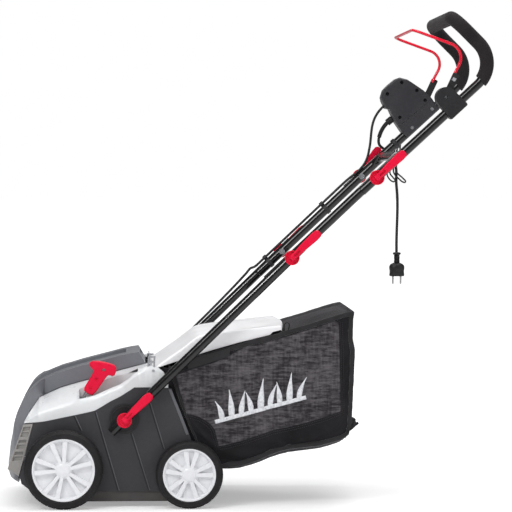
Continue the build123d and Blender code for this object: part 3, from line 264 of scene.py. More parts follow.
def panel_lines(mat):
    """Painted shadow and painted highlight beside each slanted rib of the side panels (a dark line on one side, a light
    line on the other), a painted highlight on the raised rib faces, and a lighter warm brown-grey tone on the lower
    skirt.
    """
    t = mat.node_tree
    bsdf = next(n for n in t.nodes if n.type == "BSDF_PRINCIPLED")
    src = bsdf.inputs["Base Color"].links[0].from_socket
    m = M.__new__(M)
    m.m, m.t, m.n, m.b = mat, t, t.nodes, bsdf
    m.tc = t.nodes.new("ShaderNodeTexCoord")
    m.co = m.tc.outputs["Object"]
    sep = t.nodes.new("ShaderNodeSeparateXYZ")
    t.links.new(m.co, sep.inputs[0])
    x, y, z = sep.outputs
    ay = m.math("ABSOLUTE", y)
    col = src
    above = m.maprange(z, 0.0345, 0.0385, 0.0, 1.0)
    side = m.math("MULTIPLY", m.maprange(ay, 0.2035, 0.2045, 0.0, 1.0), above)
    for a, b in (((-134, 209), (-119, 176)), ((-86, 217), (-34, 38)), ((-4, 168), (36, 38)), ((38, 238), (70, 133))):
        dx, dz = (b[0] - a[0]) / 1000.0, (b[1] - a[1]) / 1000.0
        ln = math.hypot(dx, dz)
        nx, nz = -dz / ln, dx / ln
        c = nx * (a[0] - X0) / 1000.0 + nz * a[1] / 1000.0
        d = m.math("SUBTRACT", m.math("ADD", m.math("MULTIPLY", x, nx), m.math("MULTIPLY", z, nz)), c)
        within = m.math("MULTIPLY", m.maprange(z, (b[1] - 1) / 1000.0, b[1] / 1000.0, 0.0, 1.0), m.maprange(z, a[1] / 1000.0, (a[1] + 1) / 1000.0, 1.0, 0.0))
        on = m.math("MULTIPLY", side, within)
        # painted shadow: a dark line just off each rib (dark); painted highlight: a light line along the rib's lit edge
        # (light)
        dark = m.maprange(m.math("ABSOLUTE", m.math("ADD", d, 0.0016)), 0.0009, 0.0019, 1.0, 0.0)
        light = m.maprange(m.math("ABSOLUTE", m.math("SUBTRACT", d, 0.0014)), 0.0005, 0.0014, 1.0, 0.0)
        col = m.mix(m.math("MULTIPLY", m.math("MULTIPLY", dark, on), 0.85), col, lin((16, 16, 18)))
        col = m.mix(m.math("MULTIPLY", m.math("MULTIPLY", light, on), 0.75), col, lin((104, 105, 110)))
    # painted highlight: the raised rib faces from about x = 73 mm back are lightened
    raised = m.math("MULTIPLY", m.maprange(ay, 0.2060, 0.2064, 0.0, 1.0), m.maprange(x, (72.0 - X0) / 1000.0, (74.0 - X0) / 1000.0, 0.0, 1.0))
    col = m.mix(m.math("MULTIPLY", raised, 0.7), col, lin((108, 109, 114)))
    # the lower skirt below about 35 mm is tinted a lighter warm brown-grey, mottled by noise
    skirt = m.maprange(z, 0.0330, 0.0375, 1.0, 0.0)
    col = m.mix(m.math("MULTIPLY", skirt, m.maprange(m.noise(26.0, 5.0, 0.6), 0.3, 0.7, 0.45, 0.85)), col, lin((84, 80, 76)))
    m.set("Base Color", col)


panel_lines(MAT["side"])
MAT["grille"] = plastic("grille_grey", (152, 149, 146), rough=0.42, var=0.06, rvar=0.08, grain=2000, gstr=0.16, wear=0.30, bevel=0.0008)
MAT["black"] = plastic("black_moulding", (26, 26, 29), rough=0.46, var=0.12, rvar=0.08, grain=2200, gstr=0.22, wear=0.38, wear_rgb=(92, 92, 96),
                       bevel=0.0009)
MAT["red"] = plastic("signal_red", (228, 4, 56), rough=0.32, var=0.05, rvar=0.06, grain=700, gstr=0.05, coat=0.08, spec=0.2, wear=0.26,
                     wear_rgb=(250, 70, 92), bevel=0.0012)
MAT["tube"] = plastic("gloss_black_enamel", (10, 10, 12), rough=0.17, var=0.14, rvar=0.05, grain=520, gstr=0.05, gdist=0.0002, coat=0.35, spec=0.4, wear=0.3,
                      wear_rgb=(96, 96, 100), bevel=0.0006, macro=20.0)
MAT["wire"] = plastic("red_enamel_wire", (226, 6, 46), rough=0.26, var=0.06, rvar=0.05, grain=600, gstr=0.05, coat=0.2, spec=0.35, wear=0.25, bevel=0.0004)
MAT["box"] = plastic("switch_box_charcoal", (46, 45, 50), rough=0.42, var=0.08, rvar=0.08, grain=2400, gstr=0.26, wear=0.40, wear_rgb=(108, 108, 113),
                     bevel=0.0012)
MAT["cable"] = plastic("cable_rubber", (24, 24, 26), rough=0.52, var=0.12, rvar=0.08, grain=1500, gstr=0.12, wear=0.1, bevel=0.0004)
MAT["belt"] = plastic("belt_rubber", (28, 28, 30), rough=0.68, var=0.16, rvar=0.1, grain=1200, gstr=0.4, wear=0.3, bevel=0.0004, dust=0.15)
MAT["brass"] = plastic("nickel_plated_pin", (206, 205, 203), rough=0.26, var=0.10, rvar=0.08, grain=900, gstr=0.06, metal=1.0, wear=0.4, bevel=0.0004)
MAT["tread"] = None


def split_by(mat, name, axis, lim, rgb, metal=1.0, rough=0.3):
    """Copy of a material that turns to bright metal beyond a plane, for the rivets and screws moulded into dark parts."""
    c = mat.copy()
    c.name = name
    t = c.node_tree
    bsdf = next(n for n in t.nodes if n.type == "BSDF_PRINCIPLED")
    tc = t.nodes.new("ShaderNodeTexCoord")
    sep = t.nodes.new("ShaderNodeSeparateXYZ")
    t.links.new(tc.outputs["Object"], sep.inputs[0])
    ab = t.nodes.new("ShaderNodeMath")
    ab.operation = "ABSOLUTE"
    t.links.new(sep.outputs[axis], ab.inputs[0])
    gt = t.nodes.new("ShaderNodeMath")
    gt.operation = "GREATER_THAN"
    gt.inputs[1].default_value = lim
    t.links.new(ab.outputs[0], gt.inputs[0])
    mx = t.nodes.new("ShaderNodeMix")
    mx.data_type = "RGBA"
    t.links.new(gt.outputs[0], mx.inputs[0])
    t.links.new(bsdf.inputs["Base Color"].links[0].from_socket, mx.inputs[6])
    mx.inputs[7].default_value = lin(rgb)
    t.links.new(mx.outputs[2], bsdf.inputs["Base Color"])
    ml = t.nodes.new("ShaderNodeMath")
    ml.operation = "MULTIPLY"
    ml.inputs[1].default_value = metal
    t.links.new(gt.outputs[0], ml.inputs[0])
    t.links.new(ml.outputs[0], bsdf.inputs["Metallic"])
    return c


MAT["bracket"] = split_by(MAT["black"], "black_bracket_bright_rivet", 1, 0.2202, (206, 208, 212))


def metal(name, rgb, rough=0.32, aniso_scale=(900, 12, 12), gstr=0.14, var=0.10, rust=0.0):
    m = M(name)
    base = lin(rgb)
    streak = m.noise(1.0, 4.0, 0.6, co=m.mapping(aniso_scale))
    col = m.mix(m.maprange(streak, 0.3, 0.7, 0, 1), tuple(v * (1 - var) for v in base[:3]) + (1,), base)
    if rust > 0:
        col = m.mix(m.math("MULTIPLY", m.maprange(m.noise(42.0, 8.0, 0.72), 0.52, 0.70, 0.0, 1.0), rust), col, lin((96, 62, 42)))
    nrm, mask = m.edge(0.0005)
    col = m.mix(m.math("MULTIPLY", mask, 0.35), col, tuple(min(1, v * 1.25) for v in base[:3]) + (1,))
    m.set("Base Color", col)
    m.set("Metallic", 1.0)
    m.set("Roughness", m.mixf(m.maprange(m.noise(60.0, 5.0, 0.7), 0.3, 0.7, 0, 1), rough - 0.08, rough + 0.12))
    m.set("Normal", m.bump(streak, gstr, 0.0002, nrm))
    return m.m


MAT["steel"] = metal("zinc_plated_steel", (196, 198, 202), rough=0.28)
MAT["spring"] = metal("spring_steel", (150, 150, 154), rough=0.34, aniso_scale=(40, 40, 900), rust=0.25)
MAT["dark_steel"] = metal("phosphated_steel", (92, 92, 96), rough=0.42, rust=0.15)


def screw_mat():
    """Five blackened screws and two bright ones: the bright pair lies beyond a slanted line across the switch box."""
    mt = metal("switch_box_screws", (190, 192, 196), rough=0.30)
    t = mt.node_tree
    bsdf = next(n for n in t.nodes if n.type == "BSDF_PRINCIPLED")
    tc = t.nodes.new("ShaderNodeTexCoord")
    sep = t.nodes.new("ShaderNodeSeparateXYZ")
    t.links.new(tc.outputs["Object"], sep.inputs[0])
    df = t.nodes.new("ShaderNodeMath")
    df.operation = "SUBTRACT"
    t.links.new(sep.outputs[0], df.inputs[0])
    t.links.new(sep.outputs[2], df.inputs[1])
    gt = t.nodes.new("ShaderNodeMath")
    gt.operation = "GREATER_THAN"
    gt.inputs[1].default_value = (-210.0 - X0) / 1000.0
    t.links.new(df.outputs[0], gt.inputs[0])
    mx = t.nodes.new("ShaderNodeMix")
    mx.data_type = "RGBA"
    t.links.new(gt.outputs[0], mx.inputs[0])
    mx.inputs[6].default_value = lin((40, 40, 43))
    t.links.new(bsdf.inputs["Base Color"].links[0].from_socket, mx.inputs[7])
    t.links.new(mx.outputs[2], bsdf.inputs["Base Color"])
    return mt


MAT["screws"] = screw_mat()
MAT["copper"] = metal("copper_and_laminations", (190, 122, 78), rough=0.36, aniso_scale=(20, 1400, 20))


def rubber_tyre():
    m = M("tyre_rubber")
    big = m.noise(16.0, 6.0, 0.62)
    fine = m.noise(420.0, 3.0, 0.6)
    col = m.mix(m.maprange(m.math("ADD", m.math("MULTIPLY", big, 0.6), m.math("MULTIPLY", fine, 0.4)), 0.36, 0.64, 0, 1), lin((16, 15, 17)), lin((30, 28, 31)))
    nrm, mask = m.edge(0.0011)
    col = m.mix(m.math("MULTIPLY", m.math("MULTIPLY", mask, m.maprange(m.noise(70.0, 6.0, 0.7), 0.35, 0.6, 0, 1)), 0.5), col, lin((104, 100, 98)))
    m.set("Base Color", col)
    m.set("Roughness", m.mixf(m.noise(30.0, 5.0, 0.6), 0.52, 0.78))
    m.set("Specular IOR Level", 0.38)
    m.set("Normal", m.bump(m.math("ADD", m.noise(1500.0, 2.0, 0.5), m.math("MULTIPLY", big, 0.5)), 0.30, 0.00035, nrm))
    return m.m


def foam_mat():
    m = M("grip_foam")
    v = m.voronoi(620.0)
    v2 = m.voronoi(1500.0)
    pores = m.maprange(v, 0.05, 0.42, 0.0, 1.0)
    col = m.mix(pores, lin((20, 18, 19)), lin((36, 33, 35)))
    col = m.mix(m.maprange(m.noise(18.0, 5.0, 0.6), 0.35, 0.65, 0, 0.45), col, lin((48, 44, 46)))
    m.set("Base Color", col)
    m.set("Roughness", m.mixf(m.noise(40.0, 4.0, 0.6), 0.80, 0.95))
    m.set("Specular IOR Level", 0.12)
    m.set("Sheen Weight", 0.05)
    m.set("Sheen Roughness", 0.5)
    h = m.math("ADD", v, m.math("MULTIPLY", v2, 0.5))
    m.set("Normal", m.bump(h, 0.42, 0.0006))
    return m.m


def cloth_weave(m, pitch, rot=0.0, co=None):
    """Plain weave of round threads: two crossed ridge sets that alternate over and under."""
    k = math.pi * 2.0 / pitch / (2 * math.pi) * math.pi / 10.0
    c = m.mapping((1, 1, 1), (0, rot, 0), co)
    a = m.wave(k * 2, "X", co=c)
    b = m.wave(k * 2, "Z", co=c)
    c2 = m.wave(k * 2, "Y", co=c)
    return a, b, c2


def black_cloth():
    """Coated black polyester of the borders and the back."""
    m = M("bag_black_cloth")
    big = m.noise(7.0, 6.0, 0.62)
    mid = m.noise(60.0, 4.0, 0.6)
    col = m.mix(m.maprange(m.math("ADD", m.math("MULTIPLY", big, 0.55), m.math("MULTIPLY", mid, 0.45)), 0.36, 0.66, 0, 1), lin((14, 12, 15)), lin((29, 27, 31)))
    a, b, c = cloth_weave(m, 0.0011)
    h = m.math("ADD", m.math("ADD", a, b), c)
    col = m.mix(m.maprange(h, 0.6, 2.2, 0.0, 0.3), col, lin((42, 40, 45)))
    m.set("Base Color", col)
    m.set("Roughness", m.mixf(m.noise(22.0, 5.0, 0.6), 0.56, 0.78))
    m.set("Specular IOR Level", 0.22)
    m.set("Sheen Weight", 0.10)
    m.set("Sheen Roughness", 0.4)
    m.set("Sheen Tint", (0.75, 0.75, 0.8, 1))
    n1 = m.bump(m.noise(26.0, 6.0, 0.62), 0.35, 0.0035)
    m.set("Normal", m.bump(h, 0.35, 0.0002, n1))
    return m.m


def top_cloth():
    """Shinier dark grey polyester of the top panel."""
    m = M("bag_top_cloth")
    big = m.noise(6.0, 6.0, 0.62, co=m.mapping((1.0, 2.4, 1.0), (0, 0, 0.5)))
    mid = m.noise(44.0, 5.0, 0.65)
    col = m.mix(m.maprange(m.math("ADD", m.math("MULTIPLY", big, 0.6), m.math("MULTIPLY", mid, 0.4)), 0.34, 0.68, 0, 1), lin((25, 23, 26)), lin((48, 46, 50)))
    a, b, c = cloth_weave(m, 0.0010)
    h = m.math("ADD", m.math("ADD", a, b), c)
    m.set("Base Color", m.mix(m.maprange(h, 0.6, 2.2, 0.0, 0.25), col, lin((66, 64, 69))))
    m.set("Roughness", m.mixf(m.noise(18.0, 5.0, 0.6), 0.52, 0.72))
    m.set("Specular IOR Level", 0.14)
    m.set("Sheen Weight", 0.03)
    m.set("Sheen Roughness", 0.35)
    n1 = m.bump(m.noise(17.0, 7.0, 0.62, co=m.mapping((1.0, 1.7, 1.0), (0, 0, 0.4))), 0.5, 0.006)
    m.set("Normal", m.bump(h, 0.3, 0.0002, n1))
    return m.m


def mesh_cloth():
    """Woven open mesh with the cloth border chosen by the signed distance to the window's edge."""
    m = M("bag_window_mesh")
    # irregular light and dark runs along the weft, as an open weave shows over a dark inside
    weft = m.noise(1.0, 6.0, 0.66, co=m.mapping((42.0, 42.0, 190.0), (0, 0.06, 0)))
    warp = m.noise(1.0, 5.0, 0.62, co=m.mapping((150.0, 150.0, 26.0)))
    blot = m.noise(15.0, 5.0, 0.6)
    s = m.math("ADD", m.math("ADD", m.math("MULTIPLY", weft, 0.52), m.math("MULTIPLY", warp, 0.22)), m.math("MULTIPLY", blot, 0.26))
    k = 0.5 * math.pi * 2 / 10.0
    thread_x = m.wave(1.0 / 0.0016 / 20.0 * math.pi * 2 / 2, "X")
    thread_z = m.wave(1.0 / 0.0016 / 20.0 * math.pi * 2 / 2, "Z")
    th = m.math("MAXIMUM", thread_x, thread_z)
    col = m.mix(m.maprange(s, 0.40, 0.61, 0, 1), lin((40, 37, 41)), lin((104, 100, 104)))
    # painted shade: the holes between the threads are darkened to the shaded inside of the bag seen through the weave
    hole = m.maprange(th, 0.55, 0.85, 1.0, 0.0)
    col = m.mix(m.math("MULTIPLY", hole, 0.55), col, lin((20, 19, 21)))
    # border cloth outside the window
    win = m.attr("win")
    inside = m.maprange(win, -0.25, 0.25, 0.0, 1.0)
    big = m.noise(9.0, 6.0, 0.62)
    cloth = m.mix(m.maprange(big, 0.36, 0.66, 0, 1), lin((14, 12, 15)), lin((29, 27, 31)))
    a, b, c = cloth_weave(m, 0.0011)
    hc = m.math("ADD", a, b)
    cloth = m.mix(m.maprange(hc, 0.5, 1.6, 0.0, 0.3), cloth, lin((42, 40, 45)))
    # painted shade: a darker line right inside the border where the mesh goes under it
    gap = m.math("MULTIPLY", m.maprange(win, 0.0, 2.6, 1.0, 0.0), inside)
    col = m.mix(m.math("MULTIPLY", gap, 0.7), col, lin((22, 21, 23)))
    m.set("Base Color", m.mix(inside, cloth, col))
    m.set("Roughness", m.mixf(inside, m.mixf(m.noise(22.0, 5.0, 0.6), 0.55, 0.75), 0.72))
    m.set("Specular IOR Level", 0.22)
    m.set("Sheen Weight", 0.10)
    m.set("Sheen Roughness", 0.45)
    n1 = m.bump(m.noise(30.0, 6.0, 0.6), 0.30, 0.003)
    hh = m.mixf(inside, hc, m.math("MULTIPLY", th, 2.2))
    m.set("Normal", m.bump(hh, 0.55, 0.00035, n1))
    return m.m


def print_mat():
    m = M("bag_print_white")
    col = m.mix(m.maprange(m.noise(160.0, 5.0, 0.7), 0.3, 0.62, 0, 1), lin((196, 198, 204)), lin((234, 236, 240)))
    thread = m.math("MAXIMUM", m.wave(98.0, "X"), m.wave(98.0, "Z"))
    col = m.mix(m.maprange(thread, 0.3, 0.7, 0.35, 0.0), col, lin((150, 150, 156)))
    m.set("Base Color", col)
    m.set("Roughness", m.mixf(m.noise(50.0, 4.0, 0.6), 0.45, 0.65))
    m.set("Normal", m.bump(thread, 0.4, 0.0002))
    return m.m


def webbing_mat():
    m = M("bag_binding_tape")
    rib = m.wave(260.0, "Z", co=m.mapping((1, 1, 1), (0.0, 0.7, 0.0)))
    rib2 = m.wave(260.0, "X")
    h = m.math("ADD", rib, rib2)
    col = m.mix(m.maprange(m.noise(34.0, 5.0, 0.6), 0.34, 0.66, 0, 1), lin((12, 11, 13)), lin((26, 24, 28)))
    col = m.mix(m.maprange(h, 0.5, 1.7, 0.0, 0.35), col, lin((42, 40, 45)))
    m.set("Base Color", col)
    m.set("Roughness", m.mixf(m.noise(60.0, 4.0, 0.6), 0.6, 0.82))
    m.set("Sheen Weight", 0.35)
    m.set("Sheen Roughness", 0.4)
    m.set("Normal", m.bump(h, 0.4, 0.0003))
    return m.m


def thread_mat():
    m = M("stitch_thread")
    tw = m.wave(900.0, "X", co=m.mapping((1, 1, 1), (0, 0.6, 0.4)))
    m.set("Base Color", m.mix(tw, lin((38, 36, 40)), lin((74, 72, 77))))
    m.set("Roughness", m.mixf(m.noise(300.0, 2.0, 0.5), 0.5, 0.7))
    m.set("Normal", m.bump(tw, 0.5, 0.0001))
    return m.m


MAT["tyre"] = rubber_tyre()
MAT["foam"] = foam_mat()
MAT["cloth"] = black_cloth()
MAT["top"] = top_cloth()
MAT["mesh"] = mesh_cloth()
MAT["print"] = print_mat()
MAT["tape"] = webbing_mat()
MAT["thread"] = thread_mat()

NODE_MAT = {
    "lower_housing": "side", "top_shell": "shell", "motor_hood": "hood", "front_grilles": "grille", "handle_mount_discs": "black",
    "rotor_bearings": "steel", "motor_stator": "copper", "drive_belt": "belt", "rear_axle": "steel", "flap_hinge_rod": "steel",
    "flap_springs": "steel", "lever_rod": "steel", "lever_grip": "red", "depth_link": "dark_steel", "front_axle_crank": "steel",
    "rotor_shaft": "steel", "spring_tines": "spring", "rotor_pulley": "dark_steel", "motor_armature_shaft": "copper", "motor_pulley": "dark_steel",
    "rear_flap": "white", "bag_fabric": "cloth", "bag_frame": "black", "lower_tubes": "tube", "pivot_bolts_lower": "steel",
    "cam_cups_lower": "red", "motor_cable_lower": "cable", "middle_tube": "tube", "cable_clips": "black", "motor_cable_middle": "cable",
    "upper_tube": "tube", "foam_grip": "foam", "bail_clamp": "black", "switch_box_body": "box", "switch_box_shoe": "box", "switch_screws": "screws",
    "cord_hook": "black", "mains_cord": "cable", "mains_plug": "cable", "plug_pins": "brass", "motor_cable_upper": "cable",
    "pivot_bolts_upper": "steel", "cam_cups_upper": "red", "bail_wire": "wire", "bail_brackets": "bracket", "lock_button": "red",
}


def node_mat(n):
    if n.endswith("_tyre"):
        return "tyre"
    if n.endswith("_rim"):
        return "white"
    if n.startswith("cam_lever"):
        return "red"
    return NODE_MAT.get(n, "black")


# ------------------------------------------------------------------ smooth shading of the carried-over CAD nodes
_trees = {}


def smooth_tree(deg):
    if deg in _trees:
        return _trees[deg]
    ng = bpy.data.node_groups.new("smooth_by_angle_%d" % deg, "GeometryNodeTree")
    ng.interface.new_socket("Geometry", in_out="INPUT", socket_type="NodeSocketGeometry")
    ng.interface.new_socket("Geometry", in_out="OUTPUT", socket_type="NodeSocketGeometry")
    a, z = ng.nodes.new("NodeGroupInput"), ng.nodes.new("NodeGroupOutput")
    mg = ng.nodes.new("GeometryNodeMergeByDistance")
    mg.inputs["Distance"].default_value = 2e-6
    ea = ng.nodes.new("GeometryNodeInputMeshEdgeAngle")
    cmp = ng.nodes.new("FunctionNodeCompare")
    cmp.data_type = "FLOAT"
    cmp.operation = "LESS_THAN"
    cmp.inputs[1].default_value = math.radians(deg)
    s1 = ng.nodes.new("GeometryNodeSetShadeSmooth")
    s2 = ng.nodes.new("GeometryNodeSetShadeSmooth")
    s2.domain = "EDGE"
    L = ng.links.new
    L(a.outputs[0], mg.inputs[0])
    L(mg.outputs[0], s1.inputs[0])
    L(s1.outputs[0], s2.inputs[0])
    L(ea.outputs[0], cmp.inputs[0])
    L(cmp.outputs[0], s2.inputs["Shade Smooth"])
    L(s2.outputs[0], z.inputs[0])
    _trees[deg] = ng
    return ng


def smooth_mod(o, deg=32):
    a = o.data.attributes.get("custom_normal")
    if a is not None:
        o.data.attributes.remove(a)
    md = o.modifiers.new("smooth", "NODES")
    md.node_group = smooth_tree(deg)


for name, o in NODES.items():
    o.data.materials.clear()
    o.data.materials.append(MAT[node_mat(name)])
    smooth_mod(o, 40 if name in ("top_shell", "motor_hood") else 30)


# ------------------------------------------------------------------ mesh helpers
def new_mesh(name, verts, faces, mats, smooth=True, fmat=None):
    me = bpy.data.meshes.new(name)
    me.from_pydata([tuple(v) for v in verts], [], [tuple(f) for f in faces])
    me.validate()
    for m in (mats if isinstance(mats, (list, tuple)) else [mats]):
        me.materials.append(m)
    if fmat is not None:
        me.polygons.foreach_set("material_index", fmat)
    me.polygons.foreach_set("use_smooth", [smooth] * len(me.polygons))
    me.update()
    o = bpy.data.objects.new(name, me)
    SCENE.collection.objects.link(o)
    return o


def grid_faces(nu, nv, base=0, flip=False, wrap_u=False):
    out = []
    for i in range(nu if wrap_u else nu - 1):
        for j in range(nv - 1):
            a, b = base + i * nv + j, base + ((i + 1) % nu) * nv + j
            f = (a, b, b + 1, a + 1)
            out.append(f[::-1] if flip else f)
    return out


def resample(pts, n):
    """n points along a polyline at equal arc steps, with rounded corners kept by the polyline itself."""
    pts = np.array(pts, float)
    d = np.r_[0, np.cumsum(np.linalg.norm(np.diff(pts, axis=0), axis=1))]
    t = np.linspace(0, d[-1], n)
    return np.stack([np.interp(t, d, pts[:, k]) for k in range(pts.shape[1])], 1)


def cubic_up(a, k):
    """Catmull-Rom refinement of an (n, m, c) grid by k along the first axis."""
    n = a.shape[0]
    p = np.concatenate([2 * a[:1] - a[1:2], a, 2 * a[-1:] - a[-2:-1]], 0)
    out = []
    for i in range(n - 1):
        p0, p1, p2, p3 = p[i], p[i + 1], p[i + 2], p[i + 3]
        for s in range(k):
            t = s / k
            out.append(0.5 * ((2 * p1) + (-p0 + p2) * t + (2 * p0 - 5 * p1 + 4 * p2 - p3) * t * t + (-p0 + 3 * p1 - 3 * p2 + p3) * t ** 3))
    out.append(a[-1])
    return np.stack(out, 0)


def refine(g, k):
    g = cubic_up(g, k)
    return cubic_up(g.transpose(1, 0, 2), k).transpose(1, 0, 2)


def grid_normals(g):
    du = np.gradient(g, axis=0)
    dv = np.gradient(g, axis=1)
    n = np.cross(du, dv)
    return n / np.maximum(np.linalg.norm(n, axis=2, keepdims=True), 1e-12)


def subsurf(o, lv=1):
    md = o.modifiers.new("subdivision", "SUBSURF")
    md.levels = md.render_levels = lv
    return md


def solidify(o, t, offset=0.0, rim=True):
    md = o.modifiers.new("thickness", "SOLIDIFY")
    md.thickness = t
    md.offset = offset
    md.use_rim = rim
    md.use_even_offset = False
    return md


def bevel_mod(o, w, seg=2, ang=35):
    md = o.modifiers.new("edge_round", "BEVEL")
    md.width = w
    md.segments = seg
    md.limit_method = "ANGLE"
    md.angle_limit = math.radians(ang)
    md.harden_normals = False
    return md


def tube_mesh(name, pts, r, mat, seg=14, close=False, caps=True, radii=None, step=0.004):
    """Round tube with smooth rings along a Catmull-Rom path of (x, y, z) metres."""
    c = np.array([[p[0], p[1], p[2]] for p in pts], float)
    fine = cubic_up(c[:, None, :], 12)[:, 0, :]
    total = float(np.linalg.norm(np.diff(fine, axis=0), axis=1).sum())
    n = max(8, int(total / step))
    path = resample(fine, n)
    rr = np.full(n, r) if radii is None else np.interp(np.linspace(0, 1, n), np.linspace(0, 1, len(radii)), radii)
    t = np.gradient(path, axis=0)
    t /= np.linalg.norm(t, axis=1, keepdims=True)
    up = np.array([0, 0, 1.0]) if abs(t[0][2]) < 0.9 else np.array([1.0, 0, 0])
    a = np.cross(t[0], up)
    a /= np.linalg.norm(a)
    verts, faces = [], []
    for i in range(n):
        a = a - (a @ t[i]) * t[i]
        a /= np.linalg.norm(a)
        b = np.cross(t[i], a)
        for k in range(seg):
            q = 2 * math.pi * k / seg
            verts.append(path[i] + rr[i] * (math.cos(q) * a + math.sin(q) * b))
    for i in range(n - 1):
        for k in range(seg):
            k2 = (k + 1) % seg
            faces.append((i * seg + k, (i + 1) * seg + k, (i + 1) * seg + k2, i * seg + k2))
    if caps:
        faces.append(tuple(range(seg)))
        faces.append(tuple((n - 1) * seg + k for k in range(seg - 1, -1, -1)))
    return new_mesh(name, verts, faces, mat)


# ------------------------------------------------------------------ grass bag
TOP = [(84, 318), (119, 333.5), (144, 343), (222, 365.5), (268, 378.5), (318, 391), (359, 404), (405, 417), (450.5, 431.5), (485, 442), (506, 446)]
REAR = [(494, 163), (500, 190), (503, 238), (505, 279.5), (505, 325), (508, 359.5), (503, 382), (503, 428), (506, 446)]
BOTTOM = [(168, 108), (206, 86), (222, 91), (245, 95), (268, 102), (290, 109), (313, 118), (336, 125), (359, 131), (382, 135), (405, 138), (428, 140),
          (450.5, 145), (473, 151), (494, 163)]
FRONT = [(168, 108), (149, 140), (136, 172), (124, 201), (112, 232), (103, 258), (92, 292), (84, 318)]
WINDOW = [(130, 314), (187.5, 332), (226, 350), (256, 367.5), (290, 373), (359, 392), (428, 414), (462, 425), (473, 421), (474.5, 302), (477, 218),
          (439, 206), (382, 190), (313, 174), (245, 151), (210, 142), (195.5, 140), (192, 158), (187.5, 177), (178, 190), (165, 199.5), (153, 206),
          (130, 211), (121, 211), (112, 245), (103, 279.5), (98, 302)]
NU, NV, NY = 47, 33, 41
HALF = 200.0


def coons():
    T, B = resample(TOP, NU), resample(BOTTOM, NU)
    F, Rr = resample(FRONT, NV), resample(REAR, NV)
    g = np.zeros((NU, NV, 2))
    for i in range(NU):
        u = i / (NU - 1)
        for j in range(NV):
            v = j / (NV - 1)
            g[i, j] = ((1 - v) * B[i] + v * T[i] + (1 - u) * F[j] + u * Rr[j]
                       - ((1 - u) * (1 - v) * B[0] + u * (1 - v) * B[-1] + (1 - u) * v * T[0] + u * v * T[-1]))
    return g


def sdf(pts, poly):
    """Signed distance (mm) of (n, 2) points to a polygon, positive inside."""
    poly = np.array(poly, float)
    d = np.full(len(pts), 1e9)
    ins = np.zeros(len(pts), bool)
    for k in range(len(poly)):
        a, b = poly[k], poly[(k + 1) % len(poly)]
        e = b - a
        t = np.clip(((pts - a) @ e) / (e @ e), 0, 1)
        d = np.minimum(d, np.linalg.norm(pts - (a + t[:, None] * e), axis=1))
        cond = (a[1] > pts[:, 1]) != (b[1] > pts[:, 1])
        with np.errstate(divide="ignore", invalid="ignore"):
            xc = (b[0] - a[0]) * (pts[:, 1] - a[1]) / (b[1] - a[1]) + a[0]
        ins ^= cond & (pts[:, 0] < xc)
    return np.where(ins, d, -d)


def bag_rest():
    """Vertices and faces of the sewn shell before it hangs, and the index grids of its panels."""
    side2 = coons()
    verts, index = [], {}

    def add(x, y, z):
        key = (round(x, 3), round(y, 3), round(z, 3))
        if key not in index:
            index[key] = len(verts)
            verts.append((x, y, z))
        return index[key]

    grids = {}
    for tag, s in (("near", -1), ("far", 1)):
        g = np.zeros((NU, NV), int)
        for i in range(NU):
            for j in range(NV):
                g[i, j] = add(side2[i, j, 0], s * HALF, side2[i, j, 1])
        grids[tag] = g
    ys = np.linspace(-HALF, HALF, NY)
    for tag, line in (("top", side2[:, -1]), ("bottom", side2[:, 0]), ("rear", side2[-1, :])):
        n = len(line)
        g = np.zeros((n, NY), int)
        for i in range(n):
            for j in range(NY):
                g[i, j] = add(line[i, 0], ys[j], line[i, 1])
        grids[tag] = g
    verts = np.array(verts)
    faces, panel = [], []
    for tag, flip in (("near", False), ("far", True), ("top", True), ("bottom", False), ("rear", False)):
        g = grids[tag]
        for i in range(g.shape[0] - 1):
            for j in range(g.shape[1] - 1):
                f = [g[i, j], g[i + 1, j], g[i + 1, j + 1], g[i, j + 1]]
                faces.append(f[::-1] if flip else f)
                panel.append(tag)
    return verts, faces, panel, grids, side2


def smooth01(t):
    t = np.clip(t, 0, 1)
    return t * t * (3 - 2 * t)


def bag_shape(verts, grids):
    """Cut of the cloth: crowned top, sagging bottom, slack rear, waved seams."""
    v = verts.copy()
    x, y, z = verts[:, 0], verts[:, 1], verts[:, 2]
    top, bot, rear = set(grids["top"].ravel()), set(grids["bottom"].ravel()), set(grids["rear"].ravel())
    for k in range(len(v)):
        yy = y[k] / HALF
        cr = max(0.0, 1 - abs(yy) ** 2.2)
        if k in top:
            along = (x[k] - 84) / 422.0
            body = smooth01((along - 0.02) / 0.28) * smooth01((1.02 - along) / 0.10)
            v[k, 2] += cr * (13.0 * body + 2.2 * math.sin(along * 17 + 1.3 * yy) * body)
        if k in rear:
            h = (z[k] - 163) / 283.0
            v[k, 0] += cr * (5.0 * math.sin(math.pi * np.clip(h, 0, 1)) - 1.0)
            v[k, 0] += 1.6 * math.sin(h * 13.0 + 0.6) * (0.5 + 0.5 * cr) * math.sin(math.pi * np.clip(h, 0, 1)) ** 0.5
        if k in bot:
            along = (x[k] - 168) / 326.0
            v[k, 2] -= cr * 9.0 * math.sin(math.pi * np.clip(along, 0, 1))
            v[k, 2] += 1.5 * math.sin(along * 15.0) * math.sin(math.pi * np.clip(along, 0, 1))
    return v


